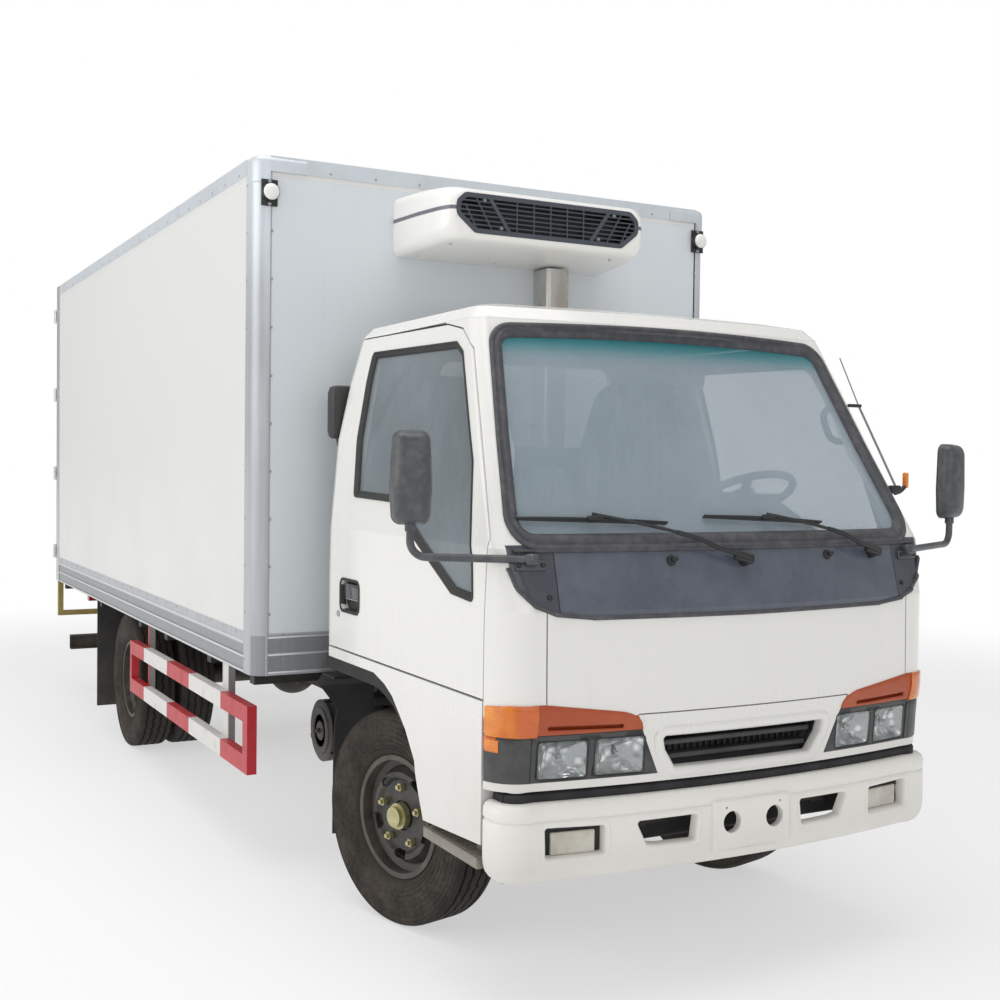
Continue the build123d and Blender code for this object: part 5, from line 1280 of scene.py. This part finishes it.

# painted highlight: the ridges on the lower rail take a paler, brighter aluminium than the rail they stand on
parts = []
for y in (-0.54, 0.54):
    parts.append(put(slab("joint_cover", (0.004, 0.012, 0.150), 0.0015, 2), at(BOX_FRONT - 0.001, y, 0.869)))
for z in (0.802, 0.871, 0.939):
    for side in (-1, 1):
        parts.append(put(slab("ridge", (0.003, 0.47, 0.007), 0.0012, 2),
                         at(BOX_FRONT - 0.001, side * 0.775, z)))
    parts.append(put(slab("ridge", (0.003, 1.068, 0.007), 0.0012, 2), at(BOX_FRONT - 0.001, 0, z)))
for sign in (1, -1):
    for z in (0.7975, 0.8565, 0.9125):
        bead = slab("ridge", (4.20, 0.003, 0.0075), 0.0012, 2)
        parts.append(put(bead, at(-0.816, sign * (BOX_HALF - 0.001), z)))
ridge_highlight = Finish("rail_ridges_painted_highlight").surface("#d5d7d9", 0.30, Metallic=0.4)
dress(joined("rail_ridges", parts), "chassis", ridge_highlight)

# the castings: a rounded block over each corner with a leg along each trim
for side, sign in SIDES:
    bend = arc3((BOX_FRONT - 0.058, BOX_HALF), (BOX_FRONT - 0.017, BOX_HALF - 0.017),
                (BOX_FRONT, BOX_HALF - 0.058), 8)
    corner_plan = [(BOX_FRONT - 0.100, BOX_HALF)] + bend + [(BOX_FRONT, BOX_HALF - 0.205)]
    rows = []
    for rise, out in ((2.706, 0.0), (2.708, 0.004), (2.786, 0.004), (2.798, 0.001), (2.806, -0.006),
                      (2.809, -0.016)):
        row = []
        for index, point in enumerate(corner_plan):
            way = -outward(corner_plan, index, closed=False)
            foot = rise if rise > 2.75 or index < 9 else rise + 0.040
            row.append((point[0] + way.x * out, sign * (point[1] + way.y * out), foot))
        rows.append(row)
    rows.append([(x - 0.05 if i > 4 else x, y - sign * 0.05 if i < 7 else y, 2.809)
                 for i, (x, y, z) in enumerate(rows[-1])])
    shell = woven("casting", rows, closed=False)
    thick = shell.modifiers.new("wall", "SOLIDIFY")
    thick.thickness, thick.offset = 0.003, -1
    applied(shell, thick)
    shell.name = f"corner_casting_{side}"
    dress(smooth(shell, 40), "chassis", aluminium)

# marker lamps: a black plate, a ribbed round body and a white dome, with a bright screw each end
milk = Finish("marker_dome_white")
dome_white = milk.surface("#efefec", 0.25, milk.bump(milk.cells(160.0), 0.0006), Coat_Weight=0.3)
for side, sign in SIDES:
    here = at(BOX_FRONT + 0.0035, sign * 1.0195, 2.663)
    parts = [put(slab("plate", (0.007, 0.066, 0.102), 0.003), here)]
    for k in range(4):
        parts.append(put(knob("rib", 0.0345 - 0.0008 * (k % 2), 0.0065, sides=32, edge=0.001),
                         here @ at(0.003 + 0.0058 * k, 0, 0)))
    dress(joined(f"marker_base_{side}", parts), "chassis", fitting_black,
          ["marker_lamps"] if sign > 0 else ())
    crown = [(0.0315 * math.sin(a), 0.014 * math.cos(a)) for a in (0.4, 0.8, 1.15, 1.4, 1.57)]
    profile = [(0.0, 0.014)] + crown + [(0.0, 0.0)]
    dome = spun(f"marker_dome_{side}", profile, 28)
    put(smooth(dome, 50), here @ at(0.0270, 0, 0) @ Matrix.Rotation(-math.pi / 2, 4, "Z"))
    dress(dome, "chassis", dome_white)
    parts = [put(knob("screw", 0.0075, 0.004, 0.006, 14, 0.001), here @ at(0.003, 0, z))
             for z in (-0.043, 0.043)]
    dress(joined(f"marker_screws_{side}", parts), "chassis", screw_steel)

# ---------------------------------------------------------------- mirrors
# Tall dark plastic heads, a little barrel-shaped, on black tubes bent up from a ball joint. The
# bracket is screwed to the cowl's end cap, with one more screw lower on the cap.
MIRROR_X, MIRROR_Y, TUBE_BEND = AXLE_X + 0.828, 1.075, 0.045
UPRIGHT = Matrix.Rotation(-math.pi / 2, 4, "Y")
head_form = rounded([(-0.055, -0.135), (0.055, -0.135), (0.0625, -0.030), (0.054, 0.135), (-0.054, 0.135),
                     (-0.0625, -0.030)], 0.028, 6)
HEAD_ROWS = ((-0.024, 0.012), (-0.0295, 0.008), (-0.0315, 0.003), (-0.028, 0.0), (-0.018, 0.0),
             (-0.016, 0.0015), (0.0, 0.003), (0.012, 0.007), (0.021, 0.014), (0.0275, 0.023), (0.0315, 0.037))
housing = Finish("mirror_housing_plastic")
dust = housing.noise(25.0, 5.0).rise(0.4, 0.8) * 0.35
tint = housing.mix(dust, "#43474b", "#7b7b78")
mirror_plastic = housing.surface(tint, 0.42, housing.bump(housing.noise(500.0, 2.0), 0.0002),
                                 Coat_Weight=0.15)
mirror_silver = Finish("mirror_silver").surface("#dfe3e4", 0.02, Metallic=1.0)


def head_row(out, inset):
    return [(out, y * (1 - inset / 0.0625), z * (1 - inset / 0.135)) for y, z in head_form]


for side, sign in SIDES:
    place = at(MIRROR_X + 0.010, sign * MIRROR_Y, 1.586) @ Matrix.Rotation(sign * math.radians(14), 4, "Z")
    shell = woven("shell", [head_row(*row) for row in HEAD_ROWS], capped=True)
    neck = put(knob("neck", 0.016, 0.030, edge=0.003), at(MIRROR_X, sign * MIRROR_Y, 1.432) @ UPRIGHT)
    parts = [put(smooth(shell, 50), place), neck]
    root = Vector((AXLE_X + 0.952, sign * 0.745, 1.352))
    elbow = Vector((MIRROR_X, sign * MIRROR_Y, 1.360))
    along = (root - elbow).normalized()
    bend = elbow + (along + Vector((0, 0, 1))) * TUBE_BEND
    angles = [k * math.pi / 16 for k in range(9)]
    turn = [bend - Vector((0, 0, TUBE_BEND)) * math.cos(a) - along * TUBE_BEND * math.sin(a) for a in angles]
    parts.append(hose("tube", [root] + turn + [(MIRROR_X, sign * MIRROR_Y, 1.450)], 0.0118, False, 5))
    bpy.ops.object.select_all(action="DESELECT")
    bpy.ops.mesh.primitive_uv_sphere_add(segments=24, ring_count=14, radius=0.0185, location=root)
    parts.append(smooth(settle(bpy.context.object), 60))
    base, way = on_front(sign * 0.743, 1.345)
    seat = stand(base, way)
    parts.append(put(slab("block", (0.036, 0.040, 0.034), 0.008), seat @ at(0.012, 0, 0.002)))
    parts.append(put(slab("flange", (0.010, 0.096, 0.030), 0.004), seat @ at(0.003, 0, -0.012)))
    dress(joined(f"mirror_{side}", parts), "cab", mirror_plastic,
          ["mirrors"] if sign > 0 else ())
    rows = [head_row(-0.0262, 0.0125), head_row(-0.0250, 0.0115), head_row(-0.0230, 0.0115)]
    pane = woven(f"mirror_glass_{side}", rows, capped=True)
    dress(put(pane, place), "cab", mirror_silver)
    parts = [put(knob("screw", 0.0085, 0.007, 0.007, 6, 0.001), seat @ at(0.007, y, -0.012))
             for y in (-0.037, 0.037)]
    for y, z in ((0.695, 1.242), (0.775, 1.365)):
        parts.append(put(knob("screw", 0.0085, 0.006, 0.007, 14, 0.001), stand(*on_front(sign * y, z))))
    dress(joined(f"cowl_screws_{side}", parts), "cab", fitting_black)

# ---------------------------------------------------------------- antenna, side repeater
# A thin telescopic antenna follows the left pillar, and a small amber repeater stands at its foot.
antenna_steel = Finish("antenna_steel").surface("#8f9396", 0.3, Metallic=0.8)
FOOT, CLIP, TIP = Vector((2.862, 0.830, 1.555)), Vector((2.700, 0.795, 1.857)), Vector((2.606, 0.787, 2.037))
parts = [hose("lower", [FOOT, CLIP], 0.0042, False), hose("upper", [CLIP, TIP], 0.0024, False)]
dress(joined("antenna", parts), "cab", antenna_steel)
parts = [put(slab("clip", (0.014, 0.060, 0.012), 0.003), at(CLIP.x, CLIP.y - 0.020, CLIP.z)),
         put(slab("foot", (0.026, 0.046, 0.030), 0.006), at(FOOT.x, FOOT.y - 0.012, FOOT.z)),
         hose("stalk", [(2.862, 0.82, 1.543), (2.860, 0.85, 1.545), (2.857, 0.872, 1.566)], 0.008)]
dress(joined("antenna_mounts", parts), "cab", fitting_black)
blade = put(slab("side_repeater", (0.024, 0.013, 0.056), 0.006), at(2.857, 0.876, 1.588))
dress(blade, "cab", lens_amber)

# ---------------------------------------------------------------- door handles and locks
# A black bezel round a glossy pull plate in a pocket, and a small keyed lock below it.
BEZEL = [(0.007, -0.002), (0.006, 0.0035), (0.0, 0.0045), (-0.004, 0.002), (-0.005, -0.020), (-0.001, -0.022),
         (0.002, -0.004)]
handle_black = Finish("handle_gloss_black").surface("#26282b", 0.16, Coat_Weight=0.6)
for side, sign in SIDES:
    def feel(x, z, lift, sign=sign):
        return on_side(sign, min(max(x, AXLE_X - 0.30), AXLE_X - 0.09), 1.22 if 1.07 < z < 1.21 else z,
                       lift)[0], None

    def plane(x, z, lift, sign=sign):
        spot, normal = feel(x, 1.22, lift)
        return Vector((x, spot.y, z)), normal

    edge = rounded(oblong(AXLE_X - 0.289, 1.082, AXLE_X - 0.109, 1.197), 0.026, 6)
    bezel = ring("bezel", dense(edge, 0.02), BEZEL, plane)
    floor_plate = woven("pocket", [[(x, sign * (CAB_HALF - depth), z) for x, z in edge]
                                   for depth in (0.026, 0.030)], capped=True)
    dress(joined(f"handle_bezel_{side}", [bezel, floor_plate]), f"cab_door_{side}",
          rubber_black)
    lever = slab(f"handle_pull_{side}", (0.150, 0.012, 0.058), 0.005)
    dress(put(lever, at(AXLE_X - 0.199, sign * (CAB_HALF - 0.010), 1.156)), f"cab_door_{side}",
          handle_black)
    lock = put(knob(f"door_lock_{side}", 0.013, 0.005, 0.011, 24, 0.0015),
               stand(*on_side(sign, AXLE_X - 0.306, 1.066)))
    dress(lock, f"cab_door_{side}", screw_steel)

# ---------------------------------------------------------------- arch liners
# A black moulded liner hangs inside each front wheel arch; its lip shows below the painted panel.
ARCH = [(-0.467, 0.895), (0.033, 0.895), (0.128, 0.870), (0.195, 0.839), (0.308, 0.745), (0.372, 0.666)]
DROP = (0.052, 0.052, 0.050, 0.044, 0.022, 0.006)
for side, sign in SIDES:
    path = []
    for (a, b), da, db in zip(zip(ARCH, ARCH[1:]), DROP, DROP[1:]):
        for k in range(6):
            share = k / 6
            path.append((a[0] + (b[0] - a[0]) * share, a[1] + (b[1] - a[1]) * share, da + (db - da) * share))
    path.append((*ARCH[-1], DROP[-1]))
    rows = []
    for index, (x, z, drop) in enumerate(path):
        before, after = path[max(index - 2, 0)], path[min(index + 2, len(path) - 1)]
        way = Vector((after[0] - before[0], after[1] - before[1])).normalized()
        down = Vector((way.y, -way.x)) if way.x > 0 else Vector((-way.y, way.x))
        here = Vector((AXLE_X + x, z))
        section = [(0.836, -0.004), (0.836, drop), (0.832, drop), (0.832, 0.003), (0.600, 0.003),
                   (0.600, -0.004)]
        rows.append([((here + down * d).x, sign * y, (here + down * d).y) for y, d in section])
    dress(smooth(woven(f"arch_liner_{side}", rows, capped=True), 40), "cab", flap_black)

# ---------------------------------------------------------------- mud flaps and wings
# A pressed wing curves down behind each front tyre and carries a narrow rubber flap; plain broad
# flaps hang from the floor behind the rear pairs.
REAR_FLAP_X = -1.8985
WING = [(-0.439, 0.800), (-0.560, 0.800), (-0.640, 0.740), (-0.690, 0.560), (-0.702, 0.400), (-0.705, 0.120)]
parts = []
for sign in (1, -1):
    rows = []
    path = dense(WING, 0.04, closed=False)
    for index, (x, z) in enumerate(path):
        way = outward(path, index, closed=False)
        wide = 0.815 - 0.100 * min(1.0, max(0.0, (0.760 - z) / 0.12))
        bead = 0.004 if z > 0.42 else 0.003
        rows.append([(AXLE_X + x + way.x * side, sign * y, z + way.y * side)
                     for y, side in ((0.562, -bead), (wide, -bead), (wide, bead), (0.562, bead))])
    parts.append(smooth(woven("wing", rows, capped=True), 30))
    parts.append(put(slab("stay", (0.010, 0.180, 0.030), 0.003), at(AXLE_X - 0.645, sign * 0.475, 0.656)))
    parts.append(put(slab("rear_flap", (0.008, 0.450, 0.680), 0.003), at(REAR_FLAP_X, sign * 0.795, 0.450)))
    parts.append(put(slab("clamp", (0.016, 0.450, 0.035), 0.003), at(REAR_FLAP_X, sign * 0.795, 0.772)))
dress(joined("mud_flap_set", parts), "chassis", flap_black, ["mud_flaps"])

# ---------------------------------------------------------------- chassis fittings
# Ribbed end cover and clips on the air cleaner, a fuel filter on the rail, straps round the fuel
# tank, and three-part tail lamps.
parts = []
cover_rows = [(0.0, 0.0), (0.128, 0.0), (0.131, 0.003), (0.131, 0.010), (0.122, 0.015), (0.102, 0.015),
              (0.098, 0.021), (0.072, 0.021), (0.068, 0.016), (0.042, 0.016), (0.038, 0.020), (0.0, 0.020)]
CLEANER_X = AXLE_X - 0.980
cover = spun("cover", cover_rows, 48)
parts.append(put(smooth(cover, 35), at(CLEANER_X, -0.652, 0.485) @ ACROSS))
for angle in (40, 160, 280):
    turn = at(CLEANER_X, -0.640, 0.485) @ Matrix.Rotation(math.radians(angle), 4, "Y")
    parts.append(put(slab("clip", (0.008, 0.050, 0.022), 0.003), turn @ at(0.133, 0, 0)))
parts.append(put(knob("nut", 0.012, 0.016, 0.009, 6, 0.002),
                 at(CLEANER_X, -0.672, 0.485) @ Matrix.Rotation(-math.pi / 2, 4, "Z")))
dress(joined("cleaner_cover", parts), "chassis", cleaner_black)
bowl_plastic = Finish("filter_plastic")
tint = bowl_plastic.mix(bowl_plastic.noise(20.0) * 0.5, "#8d9093", "#6b6459")
filter_grey = bowl_plastic.surface(tint, 0.45)
FILTER_X, FILTER_Y = 0.760, -0.430
parts = [put(knob("can", 0.040, 0.110, edge=0.006), at(FILTER_X, FILTER_Y, 0.390) @ UPRIGHT),
         put(knob("bowl", 0.026, 0.060, 0.038, edge=0.004), at(FILTER_X, FILTER_Y, 0.332) @ UPRIGHT),
         put(slab("bracket", (0.070, 0.050, 0.055), 0.004), at(FILTER_X, FILTER_Y + 0.020, 0.520))]
dress(joined("fuel_filter", parts), "chassis", filter_grey)
parts = []
for x in (AXLE_X - 2.010, AXLE_X - 1.490):
    loop = dense(rounded(oblong(0.418, 0.328, 0.902, 0.692), 0.062, 6), 0.05)
    parts.append(ring("strap", loop, oblong(0.0, -0.020, 0.003, 0.020),
                      lambda y, z, lift: (Vector((x + lift, y, z)), None)))
parts.append(put(knob("cap", 0.040, 0.022, 0.037, 28, 0.004), at(AXLE_X - 1.440, 0.780, 0.700) @ UPRIGHT))
dress(joined("tank_straps", parts), "chassis", road_black)
for label, tint, low, high in (("red", "#b01716", 0.565, 0.665), ("amber", "#d9720f", 0.668, 0.758),
                               ("white", "#e4e4e0", 0.761, 0.855)):
    lens_finish = Finish(f"tail_lens_{label}")
    ribs = (lens_finish.axes()[2] * 900.0).maths("SINE")
    lens_finish = lens_finish.surface(tint, 0.15, lens_finish.bump(ribs, 0.0006), Coat_Weight=0.5)
    for side, sign in SIDES:
        lens = slab(f"tail_lens_{label}_{side}", (0.010, high - low, 0.086), 0.004)
        dress(put(lens, at(-3.0785, sign * (low + high) / 2, 0.690)), "chassis", lens_finish)


def cushion(name, size, radius, crown, cuts=9):
    """A rounded box whose top swells by crown."""
    block = slab(name, size, 0.001, 1)
    edit(block, lambda: (bpy.ops.mesh.remove_doubles(threshold=0.003),
                         bpy.ops.mesh.subdivide(number_cuts=cuts)))
    half = [s / 2 for s in size]
    for vertex in block.data.vertices:
        core = Vector([max(-h + radius, min(h - radius, c)) for h, c in zip(half, vertex.co)])
        away = vertex.co - core
        if away.length > 0:
            vertex.co = core + away.normalized() * radius
        u, v, w = (c / h for c, h in zip(vertex.co, half))
        vertex.co.z += (crown * (1 - u ** 2) * (1 - v ** 2) if w > 0 else 0)
    return smooth(block, 60)


# the intake snorkel stands behind the cab's right corner and feeds the cleaner
parts = [put(cushion("hood", (0.080, 0.110, 0.205), 0.026, 0.0, 6), at(1.560, -0.770, 1.820)),
         hose("pipe", [(1.560, -0.760, 1.730), (1.545, -0.720, 1.600), (1.530, -0.650, 1.300),
                       (1.500, -0.600, 0.980), (1.380, -0.540, 0.760), (1.262, -0.520, 0.690)], 0.038)]
dress(joined("intake_snorkel", parts), "chassis", cleaner_black)

# ---------------------------------------------------------------- seats
# Two bucket seats with high backs and a narrow middle one, grey cloth still under clear film from
# the works; the film hangs from each headrest to the shoulders in long folds.
film = Finish("seat_cloth_under_film")
# painted highlight: the folds mask lightens the cloth colour along each fold, as well as raising the bump
folds_and_highlights = film.noise(9.0, 4.0, (1, 2.2, 0.35)).rise(0.35, 0.7)
fine = film.noise(40.0, 3.0, (1, 1, 0.3))
tint = film.mix(folds_and_highlights, "#5b646b", "#8d979d")
seat_film = film.surface(tint, 0.35, film.bump(folds_and_highlights * 0.8 + fine * 0.2, 0.02), Coat_Weight=0.7,
                         Coat_Roughness=0.15)


def seat_back(name, levels):
    """A padded back over (z, middle x, half depth, half width) levels."""
    rows = []
    for z, x, deep, wide in levels:
        row = []
        for step in range(32):
            turn = step * math.pi / 16
            c, s = math.cos(turn), math.sin(turn)
            row.append((x + deep * math.copysign(abs(c) ** 0.6, c), wide * math.copysign(abs(s) ** 0.6, s),
                        z))
        rows.append(row)
    return smooth(woven(name, rows, capped=True), 60)


BACK = ((1.142, 1.796, 0.040, 0.215), (1.160, 1.795, 0.054, 0.232), (1.300, 1.788, 0.056, 0.242),
        (1.480, 1.778, 0.055, 0.243), (1.600, 1.772, 0.052, 0.238), (1.690, 1.767, 0.050, 0.224),
        (1.760, 1.762, 0.047, 0.200), (1.830, 1.758, 0.044, 0.175), (1.890, 1.757, 0.042, 0.155),
        (1.930, 1.757, 0.038, 0.130), (1.953, 1.757, 0.030, 0.098), (1.963, 1.757, 0.016, 0.050))
base_grey = Finish("seat_base_plastic").surface("#3c4145", 0.6)
for side, sign in SIDES:
    middle = at(0, sign * 0.410, 0)
    base = put(slab(f"seat_base_{side}", (0.420, 0.326, 0.172), 0.012), at(2.0715, sign * 0.4905, 1.0185))
    dress(base, "cab", base_grey, ["seats"] if sign > 0 else ())
    pad = put(cushion(f"seat_cushion_{side}", (0.490, 0.486, 0.118), 0.040, 0.010),
              at(2.0945, sign * 0.410, 1.166))
    dress(pad, "cab", seat_film)
    back = put(seat_back(f"seat_back_{side}", BACK), middle)
    dress(back, "cab", seat_film)
low_back = [(1.110, 1.800, 0.040, 0.120), (1.130, 1.799, 0.050, 0.132), (1.400, 1.788, 0.050, 0.136),
            (1.530, 1.780, 0.047, 0.130), (1.590, 1.777, 0.040, 0.112), (1.612, 1.776, 0.022, 0.080)]
back = seat_back("seat_back_middle", low_back)
dress(back, "cab", seat_film)
pad = put(cushion("seat_cushion_middle", (0.400, 0.270, 0.090), 0.030, 0.006), at(2.060, 0, 1.139))
dress(pad, "cab", seat_film)

# ---------------------------------------------------------------- cab fittings inside
# A grey inner mirror under the header, a grab handle on the left pillar, and vents in the dash top.
inside_grey = Finish("inside_plastic_grey").surface("#787f84", 0.5)
parts = [put(slab("mirror", (0.022, 0.262, 0.056), 0.010), at(2.470, 0.135, 1.943)),
         hose("stalk", [(2.480, 0.135, 1.955), (2.510, 0.135, 2.010), (2.560, 0.135, 2.062)], 0.008)]
dress(joined("inner_mirror", parts), "cab", inside_grey)
grip = [(2.655, 0.715, 1.868), (2.680, 0.690, 1.860), (2.700, 0.622, 1.825), (2.712, 0.628, 1.770),
        (2.715, 0.655, 1.728), (2.712, 0.720, 1.722), (2.700, 0.775, 1.738)]
dress(hose("grab_handle", grip, 0.012), "cab", inside_grey)
parts = [put(slab("vent", (0.034, 0.150, 0.004), 0.0015, 2), at(2.860, y, 1.3655))
         for y in (-0.46, -0.02, 0.30, 0.58)]
dress(joined("dash_vents", parts), "cab", fitting_black)

# ---------------------------------------------------------------- floor and light
# A plain pale floor that fades into a white surround, with three soft lamps and an open sky: one
# lamp overhead, one ahead and one to the right.
bpy.ops.mesh.primitive_circle_add(vertices=96, radius=60, fill_type="NGON", location=(0, 0, 0))
floor = bpy.context.object
floor.name = "floor"
ground = Finish("pale_floor")
x, y, z = ground.axes()
reach = (x * x + y * y).maths("SQRT")
lit = ground.node("BsdfPrincipled", {}, {"Base Color": (0.92, 0.92, 0.92, 1), "Roughness": 0.9})
white = ground.node("Emission", {}, {"Color": (1, 1, 1, 1), "Strength": 1.0})
fade = reach.rise(4.5, 9.0)
whole = ground.node("MixShader", {}, {0: fade * 0.45 + 0.55, 1: lit, 2: white})
ground.node("OutputMaterial", {}, {"Surface": whole})
floor.data.materials.append(ground.material)

world = bpy.data.worlds.new("studio")
bpy.context.scene.world = world
world.use_nodes = True
sky = world.node_tree
sky.nodes.clear()
rays = sky.nodes.new("ShaderNodeLightPath")
add = sky.nodes.new("ShaderNodeMath")
add.operation = "MAXIMUM"
sky.links.new(rays.outputs["Is Camera Ray"], add.inputs[0])
sky.links.new(rays.outputs["Is Transmission Ray"], add.inputs[1])
strength = sky.nodes.new("ShaderNodeMapRange")
sky.links.new(add.outputs[0], strength.inputs["Value"])
strength.inputs["To Min"].default_value = 0.50
strength.inputs["To Max"].default_value = 1.0
back = sky.nodes.new("ShaderNodeBackground")
back.inputs["Color"].default_value = (1, 1, 1, 1)
sky.links.new(strength.outputs[0], back.inputs["Strength"])
sky_out = sky.nodes.new("ShaderNodeOutputWorld")
sky.links.new(back.outputs[0], sky_out.inputs["Surface"])


def softbox(name, spot, aim, size, power):
    bpy.ops.object.light_add(type="AREA", location=spot)
    lamp = bpy.context.object
    lamp.name = name
    lamp.data.shape = "RECTANGLE"
    lamp.data.size, lamp.data.size_y = size
    lamp.data.energy = power
    lamp.rotation_mode = "QUATERNION"
    lamp.rotation_quaternion = (Vector(aim) - Vector(spot)).to_track_quat("-Z", "Y")


softbox("overhead", (2.0, -1.5, 9.0), (0.5, 0, 1.0), (9, 6), 360)
softbox("front", (9.5, -2.0, 4.0), (1.0, 0, 1.2), (5, 4), 60)
softbox("right", (0.5, -9.5, 4.0), (0.0, 0, 1.3), (9, 5), 260)
